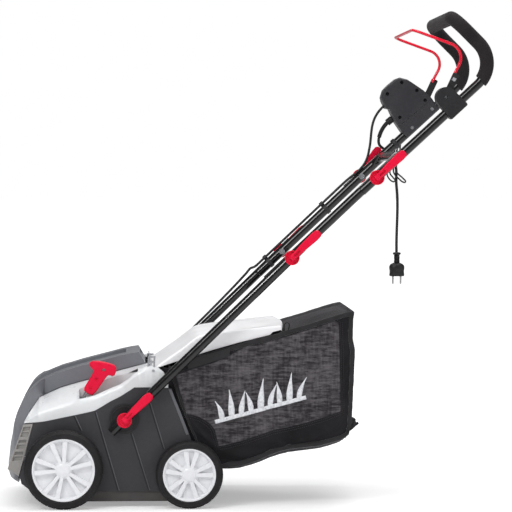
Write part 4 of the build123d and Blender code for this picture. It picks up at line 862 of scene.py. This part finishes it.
def simulate_bag(verts, faces, grids):
    """Hangs the sewn shell: the seams on the frame are held, the panels take up their slack under gravity and a little air."""
    ob = new_mesh("bag_sim", verts / 1000.0, faces, MAT["cloth"])
    pin = ob.vertex_groups.new(name="pin")
    w = np.zeros(len(verts))
    for tag in ("near", "far"):
        g = grids[tag]
        w[g[:, -1]] = 1.0
        w[g[0, :]] = 1.0
        w[g[-1, :]] = 1.0
        w[g[:, 0]] = 1.0
    w[grids["top"][0, :]] = 1.0
    w[grids["bottom"][0, :]] = 1.0
    w[grids["rear"][-1, :]] = np.maximum(w[grids["rear"][-1, :]], 1.0)
    for k in range(len(verts)):
        if w[k] > 0:
            pin.add([k], float(w[k]), "REPLACE")
    md = ob.modifiers.new("cloth", "CLOTH")
    st = md.settings
    st.quality = 6
    st.mass = 0.35
    st.tension_stiffness = 22
    st.compression_stiffness = 22
    st.shear_stiffness = 6
    st.bending_stiffness = 0.35
    st.tension_damping = 12
    st.compression_damping = 12
    st.shear_damping = 8
    st.bending_damping = 0.8
    st.vertex_group_mass = "pin"
    st.pin_stiffness = 1.0
    st.shrink_min = -0.014
    st.use_pressure = True
    st.uniform_pressure_force = 0.35
    md.collision_settings.use_collision = False
    md.collision_settings.use_self_collision = False
    md.point_cache.frame_start = 1
    md.point_cache.frame_end = 24
    SCENE.frame_start, SCENE.frame_end = 1, 24
    for f in range(1, 25):
        SCENE.frame_set(f)
    dg = bpy.context.evaluated_depsgraph_get()
    me = ob.evaluated_get(dg).to_mesh()
    co = np.zeros(len(me.vertices) * 3)
    me.vertices.foreach_get("co", co)
    ob.evaluated_get(dg).to_mesh_clear()
    co = co.reshape(-1, 3) * 1000.0
    bpy.data.objects.remove(ob)
    SCENE.frame_set(1)
    d = co - verts
    n = np.linalg.norm(d, axis=1, keepdims=True)
    cap = 11.0
    d *= np.where(n > 1e-9, cap * np.tanh(n / cap) / np.maximum(n, 1e-9), 1.0)
    return verts + d


bag_v0, bag_faces, bag_panel, bag_grids, bag_side2 = bag_rest()
bag_v1 = bag_shape(bag_v0, bag_grids)
bag_v = simulate_bag(bag_v1, bag_faces, bag_grids)
bag_v = np.clip(bag_v, [60, -206, 60], [520, 206, 470])


def to_m(a):
    b = np.array(a, float).copy()
    b[..., 0] -= X0
    return b / 1000.0


G = {k: bag_v[g] for k, g in bag_grids.items()}            # panel grids, design mm
BAG_PARTS = []
SIDE_FINE = {}
for tag, s in (("near", -1), ("far", 1)):
    fine = refine(G[tag], 3)
    flat = refine(np.concatenate([bag_side2, np.zeros((NU, NV, 1))], 2), 3)[..., :2]
    d = sdf(flat.reshape(-1, 2), WINDOW)
    nrm = grid_normals(fine)
    if (nrm[..., 1].mean() > 0) != (s > 0):
        nrm = -nrm
    lift = 0.9 * (1 - smooth01((d + 1.2) / 2.4)).reshape(fine.shape[:2])
    fine = fine + nrm * lift[..., None]
    SIDE_FINE[tag] = (fine, nrm, flat)
    nu, nv = fine.shape[:2]
    o = new_mesh("bag_side_" + tag, to_m(fine).reshape(-1, 3), grid_faces(nu, nv, flip=(s > 0)), MAT["mesh"])
    at = o.data.attributes.new("win", "FLOAT", "POINT")
    at.data.foreach_set("value", d.astype(np.float32))
    solidify(o, 0.0012, -1.0)
    BAG_PARTS.append(o)
for tag, mt, flip in (("top", "top", True), ("bottom", "cloth", False), ("rear", "cloth", False)):
    fine = refine(G[tag], 2)
    nu, nv = fine.shape[:2]
    o = new_mesh("bag_%s_panel" % tag, to_m(fine).reshape(-1, 3), grid_faces(nu, nv, flip=flip), MAT[mt])
    solidify(o, 0.0013, -1.0)
    BAG_PARTS.append(o)


def seam_tape(name, rows_a, edge, rows_b, t=1.1, mat=None):
    """Binding tape folded over a seam: rows of points on either panel beside the seam line, in design mm."""
    n = len(edge)
    prof = []
    for i in range(n):
        a, e, b = rows_a[i], edge[i], rows_b[i]
        ta, tb = a - e, b - e
        la, lb = np.linalg.norm(ta), np.linalg.norm(tb)
        ta, tb = ta / la, tb / lb
        out = -(ta + tb)
        out /= max(np.linalg.norm(out), 1e-9)
        na = out - (out @ ta) * ta
        na /= max(np.linalg.norm(na), 1e-9)
        nb = out - (out @ tb) * tb
        nb /= max(np.linalg.norm(nb), 1e-9)
        w = 10.0
        prof.append([e + ta * w + na * 0.2, e + ta * w + na * (t + .3), e + ta * 4.0 + na * (t + .9), e + ta * 0.8 + na * (t + .9) + out * .1,
                     e + out * (t + 1.3), e + tb * 0.8 + nb * (t + .9) + out * .1, e + tb * 4.0 + nb * (t + .9), e + tb * w + nb * (t + .3),
                     e + tb * w + nb * 0.2, e + tb * 4 + nb * 0.1, e + out * 0.2, e + ta * 4 + na * 0.1])
    prof = np.array(prof)
    m = prof.shape[1]
    faces = []
    for i in range(n - 1):
        for k in range(m):
            k2 = (k + 1) % m
            faces.append((i * m + k, i * m + k2, (i + 1) * m + k2, (i + 1) * m + k))
    faces.append(tuple(range(m))[::-1])
    faces.append(tuple((n - 1) * m + k for k in range(m)))
    o = new_mesh(name, to_m(prof).reshape(-1, 3), faces, mat or MAT["tape"])
    bm = bmesh.new()
    bm.from_mesh(o.data)
    bmesh.ops.recalc_face_normals(bm, faces=bm.faces)
    bm.to_mesh(o.data)
    bm.free()
    subsurf(o, 1)
    return o


for tag, s, jj in (("near", -1, 0), ("far", 1, -1)):
    side = SIDE_FINE[tag][0]
    tops, bots, rears = refine(G["top"], 3), refine(G["bottom"], 3), refine(G["rear"], 3)
    step = 1 if jj == 0 else -1
    # along the top, then down the rear and along the bottom, as one tape would be sewn
    e_top, a_top, b_top = side[:, -1], side[:, -4], tops[:, jj + 3 * step]
    e_rear, a_rear, b_rear = side[-1, ::-1], side[-4, ::-1], rears[::-1, jj + 3 * step]
    e_bot, a_bot, b_bot = side[::-1, 0], side[::-1, 3], bots[::-1, jj + 3 * step]
    for nm, a, e, b in (("top", a_top, e_top, b_top), ("rear", a_rear, e_rear, b_rear), ("bottom", a_bot, e_bot, b_bot)):
        BAG_PARTS.append(seam_tape("bag_binding_%s_%s" % (nm, tag), a, e, b))


def stitch_run(verts, faces, path, nrm, pitch=4.2, length=2.9, r=0.34):
    """Adds short raised thread stitches along a path (design mm) lying on a surface with normals nrm."""
    seg = np.r_[0, np.cumsum(np.linalg.norm(np.diff(path, axis=0), axis=1))]
    n = int(seg[-1] / pitch)
    for k in range(n):
        c = (k + 0.5) * pitch
        pts = []
        for q, lift in ((-0.5, -0.25), (-0.34, 0.22), (0.0, 0.42), (0.34, 0.22), (0.5, -0.25)):
            d = c + q * length
            p = np.array([np.interp(d, seg, path[:, m]) for m in range(3)])
            nn = np.array([np.interp(d, seg, nrm[:, m]) for m in range(3)])
            pts.append(p + nn * lift)
        pts = np.array(pts)
        t = pts[-1] - pts[0]
        t /= np.linalg.norm(t)
        nn = np.array([np.interp(c, seg, nrm[:, m]) for m in range(3)])
        nn /= max(np.linalg.norm(nn), 1e-9)
        b = np.cross(t, nn)
        base = len(verts)
        for i, p in enumerate(pts):
            rr = r * (0.55 if i in (0, 4) else 1.0)
            for q in range(6):
                a = math.pi * 2 * q / 6
                verts.append(p + rr * (math.cos(a) * b + math.sin(a) * nn))
        for i in range(4):
            for q in range(6):
                q2 = (q + 1) % 6
                faces.append((base + i * 6 + q, base + i * 6 + q2, base + (i + 1) * 6 + q2, base + (i + 1) * 6 + q))
        faces.append(tuple(base + q for q in range(5, -1, -1)))
        faces.append(tuple(base + 24 + q for q in range(6)))


def on_side(tag, line):
    """Design (x, z) line laid on the hung side panel: its points and normals."""
    fine, nrm, flat = SIDE_FINE[tag]
    f2 = flat.reshape(-1, 2)
    pts, ns = [], []
    for p in line:
        d = ((f2 - p) ** 2).sum(1)
        k = np.argsort(d)[:4]
        w = 1 / (d[k] + 0.05)
        w /= w.sum()
        q = (fine.reshape(-1, 3)[k] * w[:, None]).sum(0)
        n = (nrm.reshape(-1, 3)[k] * w[:, None]).sum(0)
        q = np.array([p[0] + (q[0] - (f2[k] * w[:, None]).sum(0)[0]), q[1], p[1] + (q[2] - (f2[k] * w[:, None]).sum(0)[1])])
        pts.append(q)
        ns.append(n / np.linalg.norm(n))
    return np.array(pts), np.array(ns)


def inset_poly(poly, d):
    """Polygon moved outward (d > 0) along averaged normals; the polygon runs clockwise seen from the near side."""
    poly = np.array(poly, float)
    n = len(poly)
    c = poly.mean(0)
    out = []
    for i in range(n):
        a, b, e = poly[i - 1], poly[i], poly[(i + 1) % n]
        t1, t2 = b - a, e - b
        n1 = np.array([t1[1], -t1[0]]) / np.linalg.norm(t1)
        n2 = np.array([t2[1], -t2[0]]) / np.linalg.norm(t2)
        m = n1 + n2
        m /= max(np.linalg.norm(m), 1e-9)
        out.append(b + m * d)
    out = np.array(out)
    if (np.linalg.norm(out - c, axis=1).mean() < np.linalg.norm(poly - c, axis=1).mean()) == (d > 0):
        out = 2 * poly - out
    return out


for tag in ("near", "far"):
    verts, faces = [], []
    ring = inset_poly(WINDOW, 3.2)
    ring = np.vstack([ring, ring[:1]])
    line = resample(ring, 460)
    pts, ns = on_side(tag, line)
    stitch_run(verts, faces, pts, ns)
    ring = inset_poly(WINDOW, 8.2)
    keep = [p for p in resample(np.vstack([ring, ring[:1]]), 460)]
    pts, ns = on_side(tag, keep)
    stitch_run(verts, faces, pts, ns, pitch=4.6)
    o = new_mesh("bag_stitching_" + tag, to_m(np.array(verts)), faces, MAT["thread"])
    BAG_PARTS.append(o)

# hem round the open front, a soft rolled edge
hem = []
side_n, side_f = SIDE_FINE["near"][0], SIDE_FINE["far"][0]
top_row = refine(G["top"], 3)[0]
bot_row = refine(G["bottom"], 3)[0]
loop = np.vstack([side_n[0, ::-1], bot_row[1:-1], side_f[0, :], top_row[::-1][1:-1]])
loop_m = to_m(loop)
loop_m = resample(np.vstack([loop_m, loop_m[:1]]), 260)[:-1]


def ring_tube(name, path, r, mat, seg=12):
    n = len(path)
    t = np.roll(path, -1, 0) - np.roll(path, 1, 0)
    t /= np.linalg.norm(t, axis=1, keepdims=True)
    a = np.cross(t[0], [0.3, 0.4, 0.8])
    a /= np.linalg.norm(a)
    verts, faces = [], []
    for i in range(n):
        a = a - (a @ t[i]) * t[i]
        a /= np.linalg.norm(a)
        b = np.cross(t[i], a)
        for k in range(seg):
            q = 2 * math.pi * k / seg
            verts.append(path[i] + r * (math.cos(q) * a + math.sin(q) * b))
    for i in range(n):
        i2 = (i + 1) % n
        for k in range(seg):
            k2 = (k + 1) % seg
            faces.append((i * seg + k, i2 * seg + k, i2 * seg + k2, i * seg + k2))
    return new_mesh(name, verts, faces, mat)


BAG_PARTS.append(ring_tube("bag_front_hem", loop_m, 0.0026, MAT["tape"]))

# tail of cloth left standing out at the lower rear corner
tail = []
TAIL = [((488, 176), (492, 163)), ((497, 180), (499, 168)), ((503, 184), (505, 173)), ((508, 188), (510, 178)), ((513, 190), (515, 183)), ((516, 189.5), (517, 186))]
NT = 33
for i, (p, q) in enumerate(TAIL):
    row = []
    for j in range(NT):
        y = -203 + 406 * j / (NT - 1)
        wob = 1.5 * math.sin(j * 0.7 + i * 0.4) * i / 5.0 + 1.1 * math.sin(j * 1.9) * i / 5.0
        row.append([(p[0] + q[0]) / 2 + wob * 0.8, y * (1 - 0.004 * i), (p[1] + q[1]) / 2 + wob])
    tail.append(row)
tail = refine(np.array(tail, float), 3)
nu, nv = tail.shape[:2]
o = new_mesh("bag_rear_tail", to_m(tail).reshape(-1, 3), grid_faces(nu, nv), MAT["cloth"])
solidify(o, 0.0042, 0.0)
bevel_mod(o, 0.0014, 2, 40)
BAG_PARTS.append(o)


# lining cloth standing forward from the open front, inside the housing's rear edge
for tag, s in (("near", -1), ("far", 1)):
    rows = []
    front = resample(np.array(FRONT, float), 41)
    for k, q in enumerate(front):
        row = []
        for j in range(9):
            t = j / 8.0
            wob = 0.8 * math.sin(k * 0.55 + j * 0.5) * t
            row.append([q[0] + 4.0 - 22.0 * t, s * (197.0 - 2.6 * smooth01(t) + wob * 0.6), q[1] + 0.6 + wob])
        rows.append(row)
    rows = refine(np.array(rows, float), 2)
    nu, nv = rows.shape[:2]
    o = new_mesh("bag_mouth_lining_" + tag, to_m(rows).reshape(-1, 3), grid_faces(nu, nv, flip=(s > 0)), MAT["cloth"])
    solidify(o, 0.0012, 0.0)
    BAG_PARTS.append(o)


def strip_on_side(tag, verts, faces, line, widths, lift=0.55, cols=5):
    """Flat printed strip laid on the hung side panel: a centre line in design (x, z) with its width at each point."""
    line = np.array(line, float)
    t = np.gradient(line, axis=0)
    t /= np.linalg.norm(t, axis=1, keepdims=True)
    nn = np.stack([-t[:, 1], t[:, 0]], 1)
    base = len(verts)
    for k in range(cols):
        off = (k / (cols - 1) - 0.5) * np.array(widths, float)
        pts, ns = on_side(tag, line + nn * off[:, None])
        for q, n in zip(pts, ns):
            verts.append(q + n * lift)
    m = len(line)
    for k in range(cols - 1):
        for i in range(m - 1):
            a = base + k * m + i
            faces.append((a, a + m, a + m + 1, a + 1) if tag == "far" else (a, a + 1, a + m + 1, a + m))


def blade(x, z, dx, h, w):
    """Centre line and widths of one grass blade rooted at (x, z) and leaning by dx at its tip."""
    t = np.linspace(0, 1, 22)
    line = np.stack([x + dx * t ** 1.8, z + 0.27 * dx * t ** 1.8 + h * t], 1)
    return line, w * (1 - t) ** 0.62 * (0.55 + 0.45 * np.sin(np.pi * np.clip(t * 1.1 + 0.12, 0, 1))) + 0.35


for tag in ("near", "far"):
    verts, faces = [], []
    u = np.linspace(0, 1, 60)
    bar = np.stack([188 + 208 * u, 196 + 56 * u], 1)
    strip_on_side(tag, verts, faces, bar, 9.0 - 0 * u)
    for k, (dx, h, w) in enumerate(((-26, 44, 15), (-10, 62, 17), (14, 50, 15), (-20, 46, 15), (10, 66, 18), (26, 46, 15), (-12, 50, 15), (8, 62, 17), (28, 42, 14))):
        uu = 0.075 + 0.85 * k / 8.0
        line, ww = blade(188 + 208 * uu, 196 + 56 * uu + 3.5, dx * 0.62, h, w)
        strip_on_side(tag, verts, faces, line, ww)
    o = new_mesh("bag_grass_print_" + tag, to_m(np.array(verts)), faces, MAT["print"])
    solidify(o, 0.0003, 1.0)
    BAG_PARTS.append(o)

for tag, s in (("near", -1),):   # catch loop sewn to the top panel behind the flap
    loop_pts = [(347, 400), (346.5, 410), (348.5, 417.5), (353, 420.5), (357.6, 418), (358.2, 412.5), (356.5, 403)]
    hk = tube_mesh("bag_catch_loop_" + tag, np.array([list(P(x, s * 186.0, z)) for x, z in loop_pts]), 0.0014, MAT["black"], seg=10, step=0.0015)
    BAG_PARTS.append(hk)

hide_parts("bag_fabric")
for o in BAG_PARTS:
    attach(o, "grass_bag")



# ------------------------------------------------------------------ rear flap, one smooth moulding with its hinge knuckles
HINGE_X, HINGE_Z = 46.0, 312.0
FT = np.array([(43, 316.5), (60, 327), (78, 339.5), (110, 361.5), (131, 378), (139, 384), (146, 388.6), (153, 391.6), (163, 393.8), (195, 399), (261, 406.5), (321.5, 412.6), (341, 414)], float)
FB = np.array([(43, 311.5), (57, 318.5), (80, 326.5), (144, 346.5), (176, 357), (245, 376.4), (316, 393.2), (322, 399.5), (336, 402.6), (341, 404.5)], float)
NFX = 110
fx = np.linspace(43.0, 341.0, NFX)
zt, zb = np.interp(fx, FT[:, 0], FT[:, 1]), np.interp(fx, FB[:, 0], FB[:, 1])
for _ in range(2):
    zt[1:-1] = 0.25 * zt[:-2] + 0.5 * zt[1:-1] + 0.25 * zt[2:]
HWY, RC = 195.0, 6.0
rows = []
for i in range(NFX + 4):
    k = min(i, NFX - 1)
    x, top, low = fx[k], zt[k], zb[k]
    drop = (0.0, 1.2, 3.6, 6.6, 9.0)[max(0, i - NFX + 1)] if i >= NFX - 1 else 0.0
    push = (0.0, 1.3, 2.0, 2.2, 2.2)[max(0, i - NFX + 1)] if i >= NFX - 1 else 0.0
    half = []
    for j in range(8):
        half.append((-HWY, low + (top - RC - low) * j / 7.0))
    for j in range(1, 6):
        a = math.pi / 2 * j / 5.0
        half.append((-HWY + RC * (1 - math.cos(a)), top - RC + RC * math.sin(a)))
    mid = [(y, top) for y in np.linspace(-HWY + RC, HWY - RC, 33)[1:-1]]
    col = half + mid + [(-y, z) for y, z in half[::-1]]
    row = []
    for y, z in col:
        w = smooth01((x - 270.0) / 70.0)
        bow = w * (10.0 * (1 - (y / HWY) ** 2) - 2.5)
        crown = 1.2 * (1 - (y / HWY) ** 2) * (z > top - 0.5)
        row.append([x + bow + push, y, min(z + crown, top + crown - drop)])
    rows.append(row)
rows = np.array(rows, float)
nu, nv = rows.shape[:2]
flap = new_mesh("rear_flap_moulding", to_m(rows).reshape(-1, 3), grid_faces(nu, nv, flip=False), MAT["flap"])
nmid = flap.data.polygons[(nu // 2) * (nv - 1) + nv // 2].normal
if nmid.z < 0:
    flap.data.flip_normals()
solidify(flap, 0.0026, -1.0)
bevel_mod(flap, 0.0005, 2, 40)
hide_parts("rear_flap")
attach(flap, "rear_flap")


def revolve(name, cx, cz, prof, mat, seg=48):
    """Closed ring of profile (y, r) turned about a line along Y through (cx, cz), design mm."""
    verts, faces = [], []
    n = len(prof)
    for k in range(seg):
        a = 2 * math.pi * k / seg
        for y, r in prof:
            verts.append(P(cx + r * math.cos(a), y, cz + r * math.sin(a)))
    for k in range(seg):
        k2 = (k + 1) % seg
        for i in range(n):
            i2 = (i + 1) % n
            faces.append((k * n + i, k * n + i2, k2 * n + i2, k2 * n + i))
    o = new_mesh(name, verts, faces, mat)
    bm = bmesh.new()
    bm.from_mesh(o.data)
    bmesh.ops.recalc_face_normals(bm, faces=bm.faces)
    bm.to_mesh(o.data)
    bm.free()
    return o


for k, (a, b) in enumerate(((-195, -188), (-140, -90), (-25, 25), (90, 140), (188, 195))):
    kn = revolve("flap_knuckle_%d" % (k + 1), HINGE_X, HINGE_Z,
                 [(a, 3.4), (a, 5.8), (a + 0.8, 6.6), (b - 0.8, 6.6), (b, 5.8), (b, 3.4)], MAT["white"])
    smooth_mod(kn, 35)
    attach(kn, "rear_flap")

# torsion springs on the hinge rod, each with its looped upright leg
for tag, yc in (("near", -176.0), ("far", 176.0)):
    pts = []
    turns, rr = 5.0, 4.9
    pts += [(38.0, yc - 7.2, 327.0), (38.4, yc - 7.2, 323.0), (39.6, yc - 7.2, 317.0)]
    nn = int(turns * 20)
    for k in range(nn + 1):
        a = math.pi * 0.86 + 2 * math.pi * turns * k / nn
        pts.append((HINGE_X + rr * math.cos(a) * 1.0, yc - 6.4 + 12.8 * k / nn, HINGE_Z + rr * math.sin(a)))
    pts += [(39.6, yc + 7.2, 317.0), (38.4, yc + 7.2, 323.0), (38.0, yc + 7.2, 327.0), (38.0, yc + 5.2, 329.4), (38.0, yc, 330.0), (38.0, yc - 5.2, 329.4), (38.0, yc - 7.2, 327.0)]
    sp = tube_mesh("flap_spring_" + tag, np.array([list(P(*q)) for q in pts]), 0.00125, MAT["steel"], seg=10, step=0.0012)
    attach(sp, "chassis")
    if tag == "near":
        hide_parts("flap_springs")


def plate(name, outer, holes, y, t, mat, tilt=0.0):
    """Flat plate in the XZ plane with rectangular windows, made from a grid so that its edges can be rounded."""
    (x0, z0), (x1, z1) = outer
    xs = sorted({x0, x1} | {v for h in holes for v in (h[0][0], h[1][0])})
    zs = sorted({z0, z1} | {v for h in holes for v in (h[0][1], h[1][1])})
    idx, verts, faces = {}, [], []
    for i, x in enumerate(xs):
        for j, z in enumerate(zs):
            idx[i, j] = len(verts)
            verts.append(P(x + tilt * (z - z0), y, z))
    for i in range(len(xs) - 1):
        for j in range(len(zs) - 1):
            cx, cz = (xs[i] + xs[i + 1]) / 2, (zs[j] + zs[j + 1]) / 2
            if any(h[0][0] < cx < h[1][0] and h[0][1] < cz < h[1][1] for h in holes):
                continue
            faces.append((idx[i, j], idx[i + 1, j], idx[i + 1, j + 1], idx[i, j + 1]))
    o = new_mesh(name, verts, faces, mat, smooth=False)
    solidify(o, t / 1000.0, 0.0)
    bevel_mod(o, 0.0005, 2, 40)
    return o


for tag, yc, zt_, wins in (("near", -198.6, 345.5, [((35.5, 334.5), (45.0, 341.5)), ((35.5, 320.5), (45.0, 329.5))]), ("far", 198.6, 323.0, [((35.5, 311.0), (45.0, 318.0))])):
    br = plate("flap_hinge_bracket_" + tag, ((31.5, 306.0), (49.0, zt_)), wins, yc, 1.6, MAT["steel"], tilt=0.05)
    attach(br, "chassis")

# ------------------------------------------------------------------ moulded mains plug: ribbed boot, waisted body
def loft(name, cx, cy, secs, mat, seg=56, power=2.6, slot_depth=0.0):
    """Stack of super-elliptic sections (z, half x, half y) in design mm, closed at both ends."""
    verts, faces = [], []
    for z, a, b in secs:
        for k in range(seg):
            t = 2 * math.pi * k / seg
            c, q = math.cos(t), math.sin(t)
            pw = 2.0 / (power if a > 11 else 2.0)
            x = math.copysign(abs(c) ** pw, c) * a
            y = math.copysign(abs(q) ** pw, q) * b
            verts.append(P(cx + x, cy + y, z))
    n = len(secs)
    for i in range(n - 1):
        for k in range(seg):
            k2 = (k + 1) % seg
            faces.append((i * seg + k, i * seg + k2, (i + 1) * seg + k2, (i + 1) * seg + k))
    faces.append(tuple(range(seg))[::-1])
    faces.append(tuple((n - 1) * seg + k for k in range(seg)))
    o = new_mesh(name, verts, faces, mat)
    bm = bmesh.new()
    bm.from_mesh(o.data)
    bmesh.ops.recalc_face_normals(bm, faces=bm.faces)
    bm.to_mesh(o.data)
    bm.free()
    return o


secs = [(567.0, 4.6, 4.6), (566.4, 8.6, 8.6), (565.2, 9.8, 9.8), (562.6, 9.9, 9.9), (561.4, 9.0, 9.0), (560.4, 6.9, 6.9)]
for k in range(5):
    z = 559.2 - 3.5 * k
    secs += [(z, 6.2, 6.2), (z - 0.9, 7.5, 7.5), (z - 2.1, 7.6, 7.6), (z - 2.9, 6.3, 6.3)]
secs += [(541.4, 7.6, 7.8), (540.2, 10.4, 10.4), (538.2, 14.2, 13.2), (535.0, 17.4, 15.4), (531.0, 18.8, 16.8), (526.0, 18.6, 16.6), (521.0, 17.7, 15.8),
         (516.0, 17.9, 16.2), (512.0, 18.5, 16.9), (510.0, 18.4, 16.8), (508.6, 17.8, 16.2), (508.0, 16.8, 15.2)]
pl = loft("mains_plug_body", 649.0, 243.0, secs, MAT["cable"])
smooth_mod(pl, 50)
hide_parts("mains_plug")
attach(pl, "handle_upper")

# wire hook for the lead: a collar on the tube and two looped prongs
hook = [[(646, 826), (640, 806), (630.5, 775), (624.7, 759), (630.8, 746.5), (640.1, 740.4), (644.6, 744.5), (638.4, 752.0), (631.5, 764.5), (640.0, 792), (650, 822)],
        [(650, 830), (648.5, 806), (640.5, 766.5), (656.7, 745.2), (667.4, 738.6), (670.4, 742.4), (662.4, 750.6), (646.5, 768.5), (654.0, 800), (658, 834)]]
for k, line in enumerate(hook):
    yy = 243.0 + 2.0 * k
    pts = [(line[0][0], 224.0, line[0][1] + 8.0)] + [(x, yy, z) for x, z in line] + [(line[-1][0], 224.0, line[-1][1] + 8.0)]
    hk = tube_mesh("cord_hook_prong_%d" % (k + 1), np.array([list(P(*q)) for q in pts]), 0.0019, MAT["black"], seg=12, step=0.002)
    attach(hk, "handle_upper")
    if k == 0:
        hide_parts("cord_hook")
_a = math.radians(42.6)
cc = (556.3 + 117 * math.cos(_a), 754.3 + 117 * math.sin(_a))
ring = []
for k in range(64):
    t = 2 * math.pi * k / 64
    for dr, ds in ((11.1, -5.0), (13.2, -5.0), (13.8, -4.2), (13.8, 4.2), (13.2, 5.0), (11.1, 5.0)):
        ring.append(P(cc[0] + ds * math.cos(_a) - dr * math.sin(t) * math.sin(_a), 222.0 + dr * math.cos(t), cc[1] + ds * math.sin(_a) + dr * math.sin(t) * math.cos(_a)))
rf = []
for k in range(64):
    k2 = (k + 1) % 64
    for i in range(6):
        i2 = (i + 1) % 6
        rf.append((k * 6 + i, k * 6 + i2, k2 * 6 + i2, k2 * 6 + i))
col = new_mesh("cord_hook_collar", ring, rf, MAT["black"])
bm = bmesh.new()
bm.from_mesh(col.data)
bmesh.ops.recalc_face_normals(bm, faces=bm.faces)
bm.to_mesh(col.data)
bm.free()
smooth_mod(col, 40)
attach(col, "handle_upper")

# ------------------------------------------------------------------ slack of the motor cable across the folds
B_, C_, A_ = (362.2, 571.5), (556.3, 754.3), (-20.4, 201.4)


def at(p0, p1, s, perp):
    a = math.atan2(p1[1] - p0[1], p1[0] - p0[0])
    return (p0[0] + s * math.cos(a) - perp * math.sin(a), p0[1] + s * math.sin(a) + perp * math.cos(a))


def cable(name, pts, r=3.0):
    o = tube_mesh(name, np.array([list(P(*q)) for q in pts]), r / 1000.0, MAT["cable"], seg=16, step=0.003)
    P(*pts[0])
    P(*pts[-1])
    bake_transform(o)
    return o


u = at(B_, C_, 209, 17)
cable("motor_cable_slack_upper", [(577.5, 210, 820), (574, 208.5, 804), (566, 204, 786), (551, 199.5, 768), (530, 198, 751.5), (516, 198, 739.6), (u[0], 198, u[1])])
u, v = at(B_, C_, -67, 17), at(A_, B_, 428, 20)
cable("motor_cable_slack_middle", [(u[0], 198, u[1]), (u[0] - 7, 198.5, u[1] - 5), (u[0] - 15, 204, u[1] - 8), (v[0] + 8, 214, v[1] + 10), (v[0] + 3.5, 218.4, v[1] + 3.6), (v[0], 219, v[1])])
u = at(A_, B_, 43, 15.5)
cable("motor_cable_slack_lower", [(u[0], 219, u[1]), (u[0] - 7, 219, u[1] - 6.5), (u[0] - 18, 219, u[1] - 11), (u[0] - 30, 217, u[1] - 5), (u[0] - 38, 212, u[1] + 6), (u[0] - 43, 204, u[1] + 16), (u[0] - 45, 196, u[1] + 20)])


# ------------------------------------------------------------------ floor, light, camera
def area(name, loc, target, size, size_y, power, color=(1, 1, 1)):
    l = bpy.data.lights.new(name, "AREA")
    l.shape = "RECTANGLE"
    l.size, l.size_y = size, size_y
    l.energy = power
    l.color = color
    o = bpy.data.objects.new(name, l)
    o.location = loc
    d = Vector(target) - Vector(loc)
    o.rotation_mode = "QUATERNION"
    o.rotation_quaternion = d.to_track_quat("-Z", "Y")
    SCENE.collection.objects.link(o)
    return o


fm = M("studio_floor")
fm.set("Base Color", fm.mix(fm.maprange(fm.noise(1.3, 4.0, 0.5), 0.3, 0.7, 0, 1), lin((246, 246, 247)), lin((250, 250, 251))))
fm.set("Roughness", fm.mixf(fm.noise(6.0, 3.0, 0.5), 0.34, 0.42))
fm.set("Normal", fm.bump(fm.noise(900.0, 2.0, 0.5), 0.02, 0.0002))
_lp = fm.n.new("ShaderNodeLightPath")
_far = fm.n.new("ShaderNodeVectorMath")
_far.operation = "LENGTH"
fm.link(fm.co, _far.inputs[0])
fm.set("Emission Color", (1.0, 1.0, 1.0, 1.0))
fm.set("Emission Strength", fm.math("MULTIPLY", _lp.outputs["Is Camera Ray"], fm.maprange(_far.outputs["Value"], 0.9, 3.4, 0.33, 0.75)))
floor_v, floor_f = [], []
NF = 24
for i in range(NF + 1):
    for j in range(NF + 1):
        floor_v.append((-45.0 + 90.0 * i / NF, -45.0 + 90.0 * j / NF, -0.0004))
for i in range(NF):
    for j in range(NF):
        a = i * (NF + 1) + j
        floor_f.append((a, a + NF + 1, a + NF + 2, a + 1))
floor = new_mesh("studio_floor", floor_v, floor_f, fm.m)

world = bpy.data.worlds.new("studio")
SCENE.world = world
world.use_nodes = True
bg = world.node_tree.nodes["Background"]
bg.inputs[0].default_value = (1.0, 1.0, 1.0, 1.0)
# a white room for the eye and for soft shading, with a dimmer one in reflections so that dark gloss stays dark between the softboxes
lp = world.node_tree.nodes.new("ShaderNodeLightPath")


def wmix(fac, a, b):
    x = world.node_tree.nodes.new("ShaderNodeMix")
    x.data_type = "FLOAT"
    world.node_tree.links.new(fac, x.inputs[0])
    for k, v in ((2, a), (3, b)):
        if isinstance(v, (int, float)):
            x.inputs[k].default_value = v
        else:
            world.node_tree.links.new(v, x.inputs[k])
    return x.outputs[0]


world.node_tree.links.new(wmix(lp.outputs["Is Camera Ray"], wmix(lp.outputs["Is Glossy Ray"], 0.60, 0.16), 1.0), bg.inputs[1])

area("key_softbox", (-1.7, -2.6, 3.0), (0.0, 0.0, 0.35), 1.8, 1.2, 46)
area("top_softbox", (0.3, -0.2, 3.4), (0.0, 0.0, 0.3), 3.0, 2.0, 38)
area("fill_softbox", (2.6, -3.0, 1.6), (0.0, 0.0, 0.4), 1.6, 1.6, 14)
area("strip_light", (-1.9, -2.4, 2.5), (0.1, 0.0, 0.6), 0.55, 0.10, 8)
area("overhead_strip", (0.5, 0.5, 2.7), (0.2, 0.0, 0.6), 1.4, 0.14, 8)
area("back_softbox", (0.4, 3.0, 2.6), (0.0, 0.0, 0.5), 3.0, 1.4, 26)

SCENE.view_settings.view_transform = "Standard"
SCENE.view_settings.look = "None"

cam = bpy.data.cameras.new("camera")
cam.lens = 187.8
cam.sensor_width = 36.0
cam.clip_start, cam.clip_end = 0.1, 60.0
co = bpy.data.objects.new("camera", cam)
SCENE.collection.objects.link(co)
co.location = P(0.0, -6310.0, 798.6)
look = Vector((0.04605, 1.0, -0.03669))
co.rotation_mode = "QUATERNION"
co.rotation_quaternion = look.to_track_quat("-Z", "Y")
SCENE.camera = co
